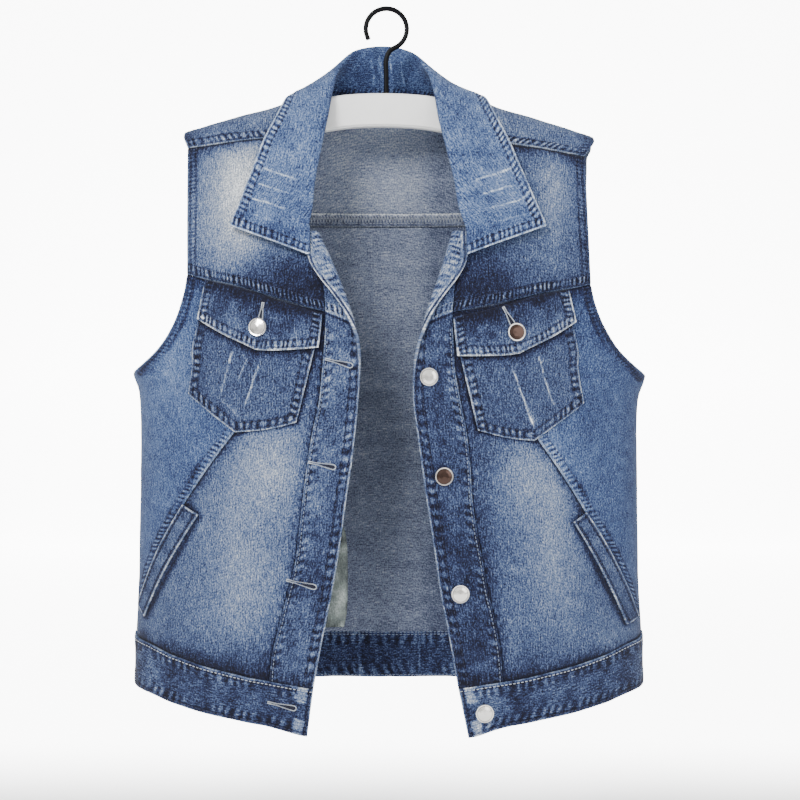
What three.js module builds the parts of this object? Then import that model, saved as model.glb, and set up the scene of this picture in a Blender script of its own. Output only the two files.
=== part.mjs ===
import * as THREE from 'three';

// A sleeveless denim vest that hangs open on a coat hanger. Sizes are in millimetres.
// +X is to the right as the front is seen, the front faces -Y, and +Z is up.
// The origin is the inside top of the hanger's hook.

// Cloth
const PANEL_WALL = 1.5; // one layer of denim
const BAND_WALL = 2.6; // folded strips: button bands and hem band
const COLLAR_WALL = 2.2;
const POCKET_WALL = 1.5;
const FLAP_WALL = 2;
const WELT_WALL = 1.8;
const BAG_WALL = 1.2;
const SEAM_GAP = 0.3;
const POINT_INSET = 0.9; // at the side panel's lower point, where the seam bends round the side
const HEM_INSET = 0.9; // between the button bands and the hem band
const LAYER_GAP = 0.3;
const VEST_SHIFT = 2.6; // the vest hangs this far to the right of the hook
const BAND_HEIGHT = 39.5;
const BAND_FLARE = 5; // the hem band is this much higher at the sides and all along the back

// Body form
const RIDGE_RADIUS = 10; // height of the rounding over the shoulder
const RIDGE_QUARTER = 17; // length of a quarter of that rounding, along the cloth
const RIDGE_DEPTH = 13; // half depth of the form at the shoulder
const FRONT_DEPTH = 79;
const FRONT_FALL = 250; // distance below the shoulder at which the front is at its full depth
const BACK_DEPTH = 56;
const BACK_FALL = 160;
const FALL_POWER = 1.7;
const NAPE_BULGE = 20; // the back neck stands behind the shoulders by this much
const NAPE_HALF_WIDTH = 65;
const NAPE_HEIGHT = 80;

// Hanger and hook
const BOARD_THICKNESS = 11;
const BOARD_BEVEL = 2;
const WIRE_RADIUS = 2.35;
const HOOK_RADIUS = 17; // inside the bend
const STEM_BOTTOM = -84;

// Buttons
const BUTTON_RADIUS = 8.5;
const BUTTON_LIFT = 0.35;

// Height of the shoulder line at a distance from the centre. The vest hangs a little lower at the right.
const SHOULDER_LEAN = 0.0113;
const SHOULDER_LINE = [
  { at: 0, value: -62 },
  { at: 30, value: -64 },
  { at: 54, value: -70.5 },
  { at: 80, value: -81.5 },
  { at: 107, value: -92.3 },
  { at: 139, value: -100.8 },
  { at: 177, value: -113 },
  { at: 192, value: -118 },
  { at: 240, value: -136 },
  { at: 270, value: -148 },
];

// Half width of the form at a distance below the shoulder line.
const HALF_WIDTH = [
  { at: 0, value: 240 },
  { at: 190, value: 240 },
  { at: 208, value: 239.6 },
  { at: 226, value: 233.8 },
  { at: 255, value: 232 },
  { at: 316, value: 232.2 },
  { at: 382, value: 233.2 },
  { at: 426, value: 235 },
  { at: 457, value: 236.8 },
  { at: 530, value: 237.2 },
];

// Soft folds: where the middle lies, half length and half width, tilt in degrees and depth.
const FRONT_FOLDS = [
  { x: -196, z: -352, length: 60, width: 13, tilt: 52, depth: -2.6 },
  { x: 208, z: -376, length: 45, width: 12, tilt: -52, depth: -2.2 },
  { x: -118, z: -500, length: 85, width: 20, tilt: 84, depth: 2.2 },
  { x: 128, z: -520, length: 90, width: 22, tilt: 94, depth: 2.4 },
  { x: -212, z: -470, length: 60, width: 16, tilt: 78, depth: -2 },
  { x: 206, z: -500, length: 62, width: 16, tilt: 100, depth: -2 },
];
const BACK_FOLDS = [
  { x: -92, z: -380, length: 130, width: 20, tilt: 86, depth: 3 },
  { x: -30, z: -470, length: 110, width: 22, tilt: 92, depth: -2.6 },
  { x: 74, z: -400, length: 140, width: 20, tilt: 95, depth: 3 },
  { x: 150, z: -480, length: 90, width: 20, tilt: 84, depth: -2.2 },
  { x: -160, z: -330, length: 60, width: 15, tilt: 58, depth: -2.2 },
];

// Where the seams meet, for each side: distance from the centre and height.
const SIDES = {
  left: {
    sign: -1,
    shoulderOuter: [187, -131.5],
    shoulderInner: [80, -116.5],
    yokeOuter: [183, -251],
    yokeMiddle: [114, -270],
    armhole: [[186.5, -271], [195, -296], [209, -317.3], [225, -331.6], [238, -341]],
    pocketTip: [137, -394],
    welt: [[185.2, -460.2], [170.1, -468.8], [223.6, -564.8], [230.5, -554.3]],
    flapTop: [[164, -257.6], [114, -271.6], [58, -289]],
    flapBottom: [[171, -293], [118, -321], [61, -319.5]],
    pocketTop: [[166, -272], [60.5, -302]],
    pocketBottom: [[179.4, -359.8], [136, -394.5], [81, -385.5]],
    bandEdgeTop: [66.5, -621.5],
    bandEdgeBottom: [72, -659],
    bandSeam: [105.5, -615.8],
  },
  right: {
    sign: 1,
    shoulderOuter: [181.5, -139.5],
    shoulderInner: [80, -121.5],
    yokeOuter: [183.5, -260.3],
    yokeMiddle: [114, -275.5],
    armhole: [[188, -280], [197, -301], [210, -320], [226, -334], [238.4, -343]],
    pocketTip: [134, -402],
    welt: [[177.6, -467], [165.7, -475.3], [216.5, -571], [229, -565.5]],
    flapTop: [[161, -266.4], [114, -278], [57, -292.5]],
    flapBottom: [[167.5, -296], [116, -324.4], [60.5, -326.8]],
    pocketTop: [[160.5, -280], [58.5, -307]],
    pocketBottom: [[174.8, -368.3], [129.5, -402], [79, -392.5]],
    bandEdgeTop: [62, -621],
    bandEdgeBottom: [71, -660.5],
    bandSeam: [101.5, -616.2],
  },
};

// Button bands: height, distance of the inner seam and of the opening edge on each side,
// how far the edge turns outward in degrees, and the width lying flat beyond the turn.
const BAND_ROWS = [
  { z: -216, seamLeft: 73, edgeLeft: 63, seamRight: 71, edgeRight: 57.5, turn: 180, lap: 9 },
  { z: -230, seamLeft: 68.5, edgeLeft: 56.5, seamRight: 67, edgeRight: 53.3, turn: 180, lap: 14 },
  { z: -244, seamLeft: 64, edgeLeft: 50, seamRight: 63.5, edgeRight: 49.3, turn: 180, lap: 17 },
  { z: -258, seamLeft: 59.5, edgeLeft: 44.2, seamRight: 60, edgeRight: 44.8, turn: 180, lap: 14 },
  { z: -272, seamLeft: 56.5, edgeLeft: 38.8, seamRight: 58, edgeRight: 39.8, turn: 175, lap: 8.5 },
  { z: -287.5, seamLeft: 55.5, edgeLeft: 33.4, seamRight: 56.8, edgeRight: 34.6, turn: 155, lap: 4 },
  { z: -304, seamLeft: 55.8, edgeLeft: 28.3, seamRight: 57, edgeRight: 29.7, turn: 110, lap: 2.5 },
  { z: -322, seamLeft: 57, edgeLeft: 25, seamRight: 58, edgeRight: 24.6, turn: 55, lap: 2 },
  { z: -340, seamLeft: 58.5, edgeLeft: 24.6, seamRight: 59, edgeRight: 21.8, turn: 15, lap: 2 },
  { z: -368, seamLeft: 61.5, edgeLeft: 26.6, seamRight: 64, edgeRight: 22, turn: 0, lap: 2 },
  { z: -396, seamLeft: 67.5, edgeLeft: 29.2, seamRight: 69.3, edgeRight: 25.6, turn: 0, lap: 2 },
  { z: -424, seamLeft: 72, edgeLeft: 32.6, seamRight: 72.4, edgeRight: 29.4, turn: 0, lap: 2 },
  { z: -452, seamLeft: 75.5, edgeLeft: 36.8, seamRight: 74, edgeRight: 33.4, turn: 0, lap: 2 },
  { z: -480, seamLeft: 78.8, edgeLeft: 40.6, seamRight: 78, edgeRight: 37.8, turn: 0, lap: 2 },
  { z: -508, seamLeft: 82.2, edgeLeft: 44.8, seamRight: 83.4, edgeRight: 42, turn: 0, lap: 2 },
  { z: -536, seamLeft: 89, edgeLeft: 49.8, seamRight: 88.2, edgeRight: 46, turn: 0, lap: 2 },
  { z: -564, seamLeft: 96.4, edgeLeft: 55.4, seamRight: 95, edgeRight: 51.6, turn: 0, lap: 2 },
  { z: -592, seamLeft: 103, edgeLeft: 61, seamRight: 99.6, edgeRight: 56.6, turn: 0, lap: 2 },
];
const ROWS_ABOVE_YOKE_SEAM = 5;
const TURN_LENGTH = 7; // cloth used by the turn of the edge
const TURN_STEPS = 4;
const TURN_AIM = 1; // the turn heads for a point this much nearer the opening

// Neck edge from the shoulder seam over the ridge to the centre back:
// distance from the centre and place along the cloth, counted from the ridge, minus in front.
const NECK_EDGE = [
  { out: 79, along: -31 },
  { out: 77, along: -19 },
  { out: 73.5, along: -8 },
  { out: 68, along: 2.5 },
  { out: 57, along: 11 },
  { out: 40, along: 16 },
  { out: 20, along: 17.3 },
];
const NECK_CENTRE = { out: 0, along: 17 };
const NECK_FRONT = [[81, -150], [80, -185]];

// Collar, half of it from the front end to the centre back. Columns: the neck seam (distance
// from the centre, place along the cloth, lift), the roll and the outer edge (x, y, z), how
// sharply the cloth folds at the roll, how far the row lies to the left, how much higher it lies
// on the left than in the middle, and how far the leaf bulges.
const COLLAR_ROWS = [
  [[67.5, -169, 8.2], [71, -72.2, -236.2], [142.8, -51.5, -208.6], 0, 0.8, 0, 1.2],
  [[68, -146, 7.6], [71.5, -68.3, -215], [134.8, -47.5, -188.5], 0.1, 1.2, 0, 1.2],
  [[73, -122, 4], [66.5, -64.6, -194], [126.6, -44, -167], 0.6, 2.4, 0, 1.2],
  [[80.6, -91.5, 0], [63.5, -56.5, -168], [120, -41, -150], 1, 3.4, 0, 1.2],
  [[80.5, -62, 0], [57.8, -45, -138], [112, -35.5, -128], 1, 4.2, 0.6, 1.4],
  [[78, -28, 0], [51.8, -28, -106], [102, -28, -107], 1, 4.8, 1.4, 2],
  [[71.8, -3.5, 0], [47.5, -8, -74], [90.5, -6, -82.3], 1, 5, 2.2, 2.8],
  [[61, 8.7, 0], [41, 8, -51], [80, 24, -87.2], 1, 4.6, 2.4, 2.8],
  [[42, 15.2, 0], [29, 18.5, -35.5], [63, 45, -97], 1, 4.4, 1.6, 1.8],
  [[20, 17.4, 0], [14, 24.5, -29], [32, 55, -101], 1, 4, 0.6, 1.2],
  [[0, 17, 0], [0, 26, -27.5], [0, 59, -103], 1, 4, 0, 1.2],
];
const COLLAR_SEAM_STEP = 0.9; // the collar starts this far from the neck edge
const ROLL_HALF_GAP = 2.1; // half the distance between the two leaves beside the roll
const EDGE_SKEW_SHARE = 1 / 2; // the outer edge lies to the left by this share of the roll's way
const EDGE_RISE_SHARE = 1 / 6;

// Hem band: top edge from the opening seam to the side, as distance from the centre and height.
const HEM_FRONT = [[130, -612], [160, -606.3], [193, -598], [221, -588.8]];
const HEM_SIDE = -581.8;
const HEM_BACK_DROP = 10; // the back's band lies this much lower at the centre than at the sides

// Back armhole from the yoke seam to the side.
const BACK_YOKE_SEAM = [188, -196];
const BACK_ARMHOLE = [[187, -230], [190, -262], [200, -293], [217, -321], [238.2, -342]];
const BACK_YOKE_SEAM_CENTRE = -197;
// Armhole edge of the back yoke, from its seam over the ridge to the front shoulder seam.
const BACK_YOKE_EDGE = [77, 63, 49, 36, 25, 17, 11, 5, -1, -7, -13];

const BUTTONS = [
  { name: 'button_1', side: 'right', out: 35.7, z: -345.2, on: BAND_WALL / 2 },
  { name: 'button_2', side: 'right', out: 49.1, z: -433.1, on: BAND_WALL / 2 },
  { name: 'button_3', side: 'right', out: 63.3, z: -537, on: BAND_WALL / 2 },
  { name: 'button_hem', side: 'right', out: 84.9, z: -643, on: BAND_WALL / 2 },
  { name: 'button_pocket_left', side: 'left', out: 114.8, z: -301.5, on: 'flap' },
  { name: 'button_pocket_right', side: 'right', out: 112.5, z: -306, on: 'flap' },
];

// Top and bottom edge of the hanger board, at distances from its centre.
const BOARD_EDGES = [
  { out: 0, top: -78, bottom: -109 },
  { out: 28, top: -79, bottom: -110 },
  { out: 54, top: -82.5, bottom: -113.5 },
  { out: 80, top: -93, bottom: -118.5 },
  { out: 107, top: -97.4, bottom: -121.5 },
  { out: 139, top: -104.5, bottom: -126.5 },
  { out: 165, top: -112.6, bottom: -132 },
  { out: 178, top: -117.3, bottom: -134.5 },
];
const BOARD_END = { out: 184, z: -126 };
const BOARD_PIVOT = 84; // the board leans about the foot of the hook, this far down

const COLOURS = {
  denim: 0x5f7392,
  bag: 0xb5b09a,
  metal: 0xc8c8c4,
  board: 0xf2f2ef,
  wire: 0x2a2b2d,
};

const vest = new THREE.Group();
vest.name = 'denim_vest';

// A value from a table, with smooth change between the rows.
function along(table, at) {
  const last = table.length - 1;
  if (at <= table[0].at) {
    return table[0].value;
  }
  if (at >= table[last].at) {
    return table[last].value;
  }
  let k = 0;
  while (table[k + 1].at < at) {
    k += 1;
  }
  const slope = (i) => {
    const a = table[Math.max(i - 1, 0)];
    const b = table[Math.min(i + 1, last)];
    return (b.value - a.value) / (b.at - a.at);
  };
  const span = table[k + 1].at - table[k].at;
  const s = (at - table[k].at) / span;
  const rise = table[k + 1].value - table[k].value;
  const m0 = slope(k) * span;
  const m1 = slope(k + 1) * span;
  return table[k].value + m0 * s + (3 * rise - 2 * m0 - m1) * s * s + (m0 + m1 - 2 * rise) * s * s * s;
}

// How far the folds of a table move the cloth out at a point.
function foldDepth(folds, x, z) {
  let sum = 0;
  for (const fold of folds) {
    const angle = THREE.MathUtils.degToRad(fold.tilt);
    const dx = x - fold.x;
    const dz = z - fold.z;
    const lengthwise = (dx * Math.cos(angle) + dz * Math.sin(angle)) / fold.length;
    const across = (-dx * Math.sin(angle) + dz * Math.cos(angle)) / fold.width;
    sum += fold.depth * Math.exp(-lengthwise * lengthwise - across * across);
  }
  return sum;
}

function fallOff(part) {
  return 1 - (1 - Math.min(part, 1)) ** FALL_POWER;
}

// Distance below the shoulder line and share of the depth, at a place along the cloth.
function overRidge(place) {
  const distance = Math.abs(place);
  if (distance >= RIDGE_QUARTER) {
    return { below: RIDGE_RADIUS + distance - RIDGE_QUARTER, share: 1 };
  }
  const angle = (distance / RIDGE_QUARTER) * (Math.PI / 2);
  return { below: RIDGE_RADIUS * (1 - Math.cos(angle)), share: Math.sin(angle) };
}

// Height of the shoulder line at a place from left to right.
function shoulderHeight(x) {
  return along(SHOULDER_LINE, Math.abs(x)) - SHOULDER_LEAN * x;
}

// A point of the body form: angle across it from the centre and place along the cloth.
function formPoint(angle, place) {
  const { below, share } = overRidge(place);
  const x = along(HALF_WIDTH, below) * Math.sin(angle);
  const z = shoulderHeight(x) - below;
  if (place < 0) {
    const depth = RIDGE_DEPTH + (FRONT_DEPTH - RIDGE_DEPTH) * fallOff(below / FRONT_FALL);
    const y = -(depth + foldDepth(FRONT_FOLDS, x, z)) * Math.cos(angle) * share;
    return new THREE.Vector3(x + VEST_SHIFT, y, z);
  }
  const nape = NAPE_BULGE * Math.exp(-((x / NAPE_HALF_WIDTH) ** 2) - (below / NAPE_HEIGHT) ** 2);
  const depth = RIDGE_DEPTH + (BACK_DEPTH - RIDGE_DEPTH) * fallOff(below / BACK_FALL) + nape;
  const y = (depth + foldDepth(BACK_FOLDS, x, z)) * Math.cos(angle) * share;
  return new THREE.Vector3(x + VEST_SHIFT, y, z);
}

// The point with the direction out of the cloth.
function formAt([angle, place]) {
  const step = 0.001;
  const reach = 0.2;
  const across = formPoint(angle + step, place).sub(formPoint(angle - step, place));
  const down = formPoint(angle, place + reach).sub(formPoint(angle, place - reach));
  return { p: formPoint(angle, place), n: across.cross(down).normalize() };
}

function asinSafe(value) {
  return Math.asin(Math.max(-1, Math.min(1, value)));
}

// Angle and place of a point given by its distance from the centre and its height.
function spot(sign, [out, z], back = false) {
  const below = shoulderHeight(sign * out) - z;
  const place = RIDGE_QUARTER + below - RIDGE_RADIUS;
  return [sign * asinSafe(out / along(HALF_WIDTH, below)), back ? place : -place];
}

function spotAlong(sign, out, place) {
  return [sign * asinSafe(out / along(HALF_WIDTH, overRidge(place).below)), place];
}

// A point of the side seam at a height.
function sideSpot(sign, z, back = false) {
  let below = 0;
  for (let pass = 0; pass < 8; pass += 1) {
    below = shoulderHeight(sign * along(HALF_WIDTH, below)) - z;
  }
  const place = RIDGE_QUARTER + below - RIDGE_RADIUS;
  return [(sign * Math.PI) / 2, back ? place : -place];
}

// The corners joined, each stretch in its own number of equal steps.
function run(corners, steps) {
  const points = [corners[0]];
  for (let k = 1; k < corners.length; k += 1) {
    for (let s = 1; s <= steps[k - 1]; s += 1) {
      const f = s / steps[k - 1];
      points.push(corners[k - 1].map((value, axis) => value + (corners[k][axis] - value) * f));
    }
  }
  return points;
}

// A net of spots between four edges: top and bottom run left to right, sides run down.
function net(top, bottom, left, right) {
  const columns = top.length - 1;
  const rows = left.length - 1;
  const spots = [];
  for (let j = 0; j <= rows; j += 1) {
    const v = j / rows;
    const row = [];
    for (let i = 0; i <= columns; i += 1) {
      const u = i / columns;
      row.push([0, 1].map((axis) => {
        const between = (1 - v) * top[i][axis] + v * bottom[i][axis];
        const beside = (1 - u) * left[j][axis] + u * right[j][axis];
        const upper = (1 - u) * top[0][axis] + u * top[columns][axis];
        const lower = (1 - u) * bottom[0][axis] + u * bottom[columns][axis];
        return between + beside - (1 - v) * upper - v * lower;
      }));
    }
    spots.push(row);
  }
  return spots;
}

function formDistance(a, b) {
  return formPoint(...a).distanceTo(formPoint(...b));
}

function towards(from, to, distance) {
  const f = distance / formDistance(from, to);
  return from.map((value, axis) => value + (to[axis] - value) * f);
}

// The net with its edges drawn in, by half a seam gap unless the lower edge needs more.
function drawIn(spots, lowerInset = SEAM_GAP / 2) {
  const inset = SEAM_GAP / 2;
  const rows = spots.length - 1;
  const columns = spots[0].length - 1;
  for (let j = 0; j <= rows; j += 1) {
    spots[j][0] = towards(spots[j][0], spots[j][1], inset);
    spots[j][columns] = towards(spots[j][columns], spots[j][columns - 1], inset);
  }
  for (let i = 0; i <= columns; i += 1) {
    spots[0][i] = towards(spots[0][i], spots[1][i], inset);
    spots[rows][i] = towards(spots[rows][i], spots[rows - 1][i], lowerInset);
  }
  return spots;
}

function onForm(spots) {
  return spots.map((row) => row.map(formAt));
}

function signedVolume(points, faces) {
  let sum = 0;
  for (const [a, b, c] of faces) {
    sum += points[a].dot(points[b].clone().cross(points[c]));
  }
  return sum / 6;
}

function addMesh(name, geometry, colour, metalness = 0) {
  const roughness = metalness ? 0.4 : 0.9;
  const material = new THREE.MeshStandardMaterial({ color: colour, roughness, metalness });
  const mesh = new THREE.Mesh(geometry, material);
  mesh.name = name;
  vest.add(mesh);
  return mesh;
}

// A closed wall of cloth on rows of points with directions, between two distances from them.
function addCloth(name, grid, inner, outer, colour = COLOURS.denim) {
  const rows = grid.length;
  const columns = grid[0].length;
  const points = [];
  for (const side of [outer, inner]) {
    for (const row of grid) {
      for (const { p, n } of row) {
        points.push(p.clone().addScaledVector(n, side));
      }
    }
  }
  const layer = rows * columns;
  const faces = [];
  const quad = (a, b, c, d) => faces.push([a, b, c], [a, c, d]);
  for (let j = 0; j + 1 < rows; j += 1) {
    for (let i = 0; i + 1 < columns; i += 1) {
      const a = j * columns + i;
      const b = a + 1;
      const c = b + columns;
      const d = a + columns;
      quad(a, d, c, b);
      quad(layer + b, layer + c, layer + d, layer + a);
    }
  }
  const rim = [];
  for (let i = 0; i + 1 < columns; i += 1) {
    rim.push(i);
  }
  for (let j = 0; j + 1 < rows; j += 1) {
    rim.push(j * columns + columns - 1);
  }
  for (let i = columns - 1; i > 0; i -= 1) {
    rim.push((rows - 1) * columns + i);
  }
  for (let j = rows - 1; j > 0; j -= 1) {
    rim.push(j * columns);
  }
  rim.forEach((a, k) => {
    const b = rim[(k + 1) % rim.length];
    quad(a, b, layer + b, layer + a);
  });
  if (signedVolume(points, faces) < 0) {
    faces.forEach((face) => face.reverse());
  }
  const geometry = new THREE.BufferGeometry();
  const numbers = points.flatMap((p) => p.toArray());
  geometry.setAttribute('position', new THREE.Float32BufferAttribute(numbers, 3));
  geometry.setIndex(faces.flat());
  geometry.computeVertexNormals();
  return addMesh(name, geometry, colour);
}

function addPanel(name, spots, lowerInset) {
  addCloth(name, onForm(drawIn(spots, lowerInset)), -PANEL_WALL / 2, PANEL_WALL / 2);
}

// Spots of a band row at its inner seam.
function bandSeamSpots(sideName) {
  const side = SIDES[sideName];
  const key = sideName === 'left' ? 'seamLeft' : 'seamRight';
  const spots = BAND_ROWS.map((row) => spot(side.sign, [row[key], row.z]));
  spots.push(spot(side.sign, side.bandSeam));
  return spots;
}

// Top edge of the hem band from the button band's seam to the side seam.
function hemFrontSpots(sideName) {
  const side = SIDES[sideName];
  const corners = [side.bandSeam, ...HEM_FRONT].map((point) => spot(side.sign, point));
  corners.push(sideSpot(side.sign, HEM_SIDE));
  return corners;
}

function backHeight(angle) {
  return HEM_SIDE - HEM_BACK_DROP * Math.cos(angle);
}

const BACK_COLUMNS = 24;
const SHOULDER_STEPS = 4;

function backSpot(angle, z) {
  const below = shoulderHeight(Math.sin(angle) * along(HALF_WIDTH, 460)) - z;
  return [angle, RIDGE_QUARTER + below - RIDGE_RADIUS];
}

// Top edge of the hem band across the back.
function hemBackSpots(z = backHeight) {
  const spots = [];
  for (let i = 0; i <= BACK_COLUMNS; i += 1) {
    const angle = -Math.PI / 2 + (Math.PI * i) / BACK_COLUMNS;
    spots.push(backSpot(angle, z(angle)));
  }
  return spots;
}

// Seam between back yoke and back panel.
function backYokeSeamSpots() {
  const edge = Math.asin(BACK_YOKE_SEAM[0] / along(HALF_WIDTH, 0));
  const spots = [];
  for (let i = 0; i <= BACK_COLUMNS; i += 1) {
    const angle = edge * ((2 * i) / BACK_COLUMNS - 1);
    const out = Math.abs(Math.sin(angle)) * along(HALF_WIDTH, 0);
    const rise = (out / BACK_YOKE_SEAM[0]) ** 2;
    const z = BACK_YOKE_SEAM_CENTRE + (BACK_YOKE_SEAM[1] - BACK_YOKE_SEAM_CENTRE) * rise;
    spots.push(spot(Math.sign(angle) || 1, [out, z], true));
  }
  return spots;
}

function backSideSpots(sign) {
  const armhole = [BACK_YOKE_SEAM, ...BACK_ARMHOLE].map((point) => spot(sign, point, true));
  const armpit = armhole[armhole.length - 1];
  const below = run([sideSpot(sign, -358, true), sideSpot(sign, HEM_SIDE, true)], [7]);
  return [...armhole.slice(0, -1), armpit, ...below];
}

function addBack() {
  addPanel('back_panel', net(backYokeSeamSpots(), hemBackSpots(), backSideSpots(-1), backSideSpots(1)));

  const neck = [];
  for (const sideName of ['left', 'right']) {
    const { sign, shoulderOuter, shoulderInner } = SIDES[sideName];
    const seam = run([spot(sign, shoulderOuter), spot(sign, shoulderInner)], [SHOULDER_STEPS]);
    const edge = NECK_EDGE.map((row) => spotAlong(sign, row.out, row.along));
    neck.push([...seam, ...edge]);
  }
  const centre = spotAlong(1, NECK_CENTRE.out, NECK_CENTRE.along);
  const top = [...neck[0], centre, ...neck[1].reverse()];
  const edges = ['left', 'right'].map((sideName) => {
    const { sign, shoulderOuter } = SIDES[sideName];
    const over = BACK_YOKE_EDGE.map((place) => spotAlong(sign, place > 20 ? 188 : 191, place));
    return [spot(sign, shoulderOuter), ...over.reverse(), spot(sign, BACK_YOKE_SEAM, true)];
  });
  addPanel('back_yoke', net(top, backYokeSeamSpots(), edges[0], edges[1]));
}

function addFront(sideName) {
  const side = SIDES[sideName];
  const { sign } = side;
  const seam = bandSeamSpots(sideName);
  const yokeCorners = [side.yokeOuter, side.yokeMiddle].map((point) => spot(sign, point));
  const seamAtYoke = seam[ROWS_ABOVE_YOKE_SEAM];
  const armhole = [side.yokeOuter, ...side.armhole].map((point) => spot(sign, point));

  // Front yoke
  const shoulder = run([spot(sign, side.shoulderOuter), spot(sign, side.shoulderInner)], [SHOULDER_STEPS]);
  const neck = NECK_FRONT.map((point) => spot(sign, point));
  const neckRun = run([shoulder[SHOULDER_STEPS], ...neck, seam[0]], [1, 2, 2]);
  const yokeTop = [...shoulder, ...neckRun.slice(1)];
  const yokeBottom = run([...yokeCorners, seamAtYoke], [4, 5]);
  const yokeEdge = run([spot(sign, side.shoulderOuter), yokeCorners[0]], [ROWS_ABOVE_YOKE_SEAM]);
  const yokeSeam = seam.slice(0, ROWS_ABOVE_YOKE_SEAM + 1);
  addPanel(`front_yoke_${sideName}`, net(yokeTop, yokeBottom, yokeEdge, yokeSeam));

  // Slanted seam from the yoke, under the chest pocket, to the side seam
  const weltTop = spot(sign, side.welt[0]);
  const weltEnd = spot(sign, [side.welt[3][0] - 1.5, side.welt[3][1] + 8]);
  const sideEnd = sideSpot(sign, side.welt[3][1] - 3);
  const slant = run([yokeCorners[1], spot(sign, side.pocketTip), weltTop, weltEnd], [5, 3, 3]);

  // Side panel
  const sideEdge = [...armhole, ...run([sideSpot(sign, -358), sideEnd], [5])];
  addPanel(
    `side_panel_${sideName}`,
    net(run([...yokeCorners], [4]), run([sideEnd, weltEnd], [4]), sideEdge, slant),
    POINT_INSET,
  );

  // Centre-front panel
  const hem = hemFrontSpots(sideName);
  const frontTop = run([yokeCorners[1], seamAtYoke], [5]);
  const frontEdge = [...slant, sideEnd, hem[hem.length - 1]];
  addPanel(
    `front_panel_${sideName}`,
    net(frontTop, [...hem].reverse(), frontEdge, seam.slice(ROWS_ABOVE_YOKE_SEAM)),
  );
}

// One row of a button band: flat on the form, round the turn and along the turned edge.
function bandRow(sign, seam, z, edge, turnDegrees, lap) {
  const turn = Math.max(THREE.MathUtils.degToRad(turnDegrees), 0.001);
  const radius = TURN_LENGTH / turn;
  const flat = Math.sin(Math.min(turn, Math.PI / 2)) * radius;
  const reach = flat + (turnDegrees < 90 ? lap * Math.cos(turn) : 0);
  const start = spot(sign, [edge + reach, z]);
  const row = run([seam, start], [3]).map(formAt);
  const base = row[row.length - 1];
  const ahead = formAt(spot(sign, [edge + reach - TURN_AIM, z])).p.sub(base.p);
  const inward = ahead.addScaledVector(base.n, -ahead.dot(base.n)).normalize();
  for (let k = 1; k <= TURN_STEPS + 2; k += 1) {
    const angle = turn * Math.min(k / TURN_STEPS, 1);
    const beyond = (lap * Math.max(k - TURN_STEPS, 0)) / 2;
    const heading = inward.clone().multiplyScalar(Math.cos(angle)).addScaledVector(base.n, Math.sin(angle));
    const p = base.p.clone()
      .addScaledVector(inward, radius * Math.sin(angle))
      .addScaledVector(base.n, radius * (1 - Math.cos(angle)))
      .addScaledVector(heading, beyond);
    const n = base.n.clone().multiplyScalar(Math.cos(angle)).addScaledVector(inward, -Math.sin(angle));
    row.push({ p, n });
  }
  return row;
}

function addButtonBand(sideName) {
  const side = SIDES[sideName];
  const { sign } = side;
  const edgeKey = sideName === 'left' ? 'edgeLeft' : 'edgeRight';
  const seam = bandSeamSpots(sideName);
  const inset = SEAM_GAP / 2;
  const rows = BAND_ROWS.map((row, k) => {
    const start = towards(seam[k], spot(sign, [row[edgeKey], row.z]), inset);
    return bandRow(sign, start, row.z, row[edgeKey], row.turn, row.lap);
  });
  const last = spot(sign, [side.bandSeam[0], side.bandSeam[1] + HEM_INSET]);
  const start = towards(last, spot(sign, side.bandEdgeTop), inset);
  const [edge, height] = side.bandEdgeTop;
  rows.push(bandRow(sign, start, height + HEM_INSET, edge, 0, 2));
  addCloth(`placket_${sideName}`, rows, -BAND_WALL / 2, BAND_WALL / 2);
}

// Angles round the body, in radians, between which the hem band grows to its full height.
const FLARE_START = 0.48;
const FLARE_END = 1.2;

function addHemBand() {
  const column = ([angle, place]) => {
    const flare = place > 0 ? 1 : (Math.abs(angle) - FLARE_START) / (FLARE_END - FLARE_START);
    const height = BAND_HEIGHT + BAND_FLARE * Math.max(0, Math.min(1, flare));
    const drop = Math.sign(place) * height;
    return [0, 0.5, 1].map((part) => {
      const top = Math.sign(place) * SEAM_GAP * (1 - part);
      return formAt([angle, place + top + drop * part]);
    });
  };
  const front = (sideName) => {
    const side = SIDES[sideName];
    const edgeTop = spot(side.sign, side.bandEdgeTop);
    const edgeBottom = spot(side.sign, side.bandEdgeBottom);
    const opening = [0, 0.5, 1].map((part) => {
      const place = edgeTop[1] - SEAM_GAP;
      return formAt([
        edgeTop[0] + (edgeBottom[0] - edgeTop[0]) * part,
        place + (edgeBottom[1] - place) * part,
      ]);
    });
    const middle = run([edgeTop, spot(side.sign, side.bandSeam)], [2])[1];
    return [opening, column(middle), ...hemFrontSpots(sideName).map(column)];
  };
  const back = hemBackSpots().slice(1, -1).map(column);
  const columns = [...front('left'), ...back, ...front('right').reverse()];
  const grid = [0, 1, 2].map((j) => columns.map((points) => points[j]));
  addCloth('hem_band', grid, -BAND_WALL / 2, BAND_WALL / 2);
}

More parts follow.
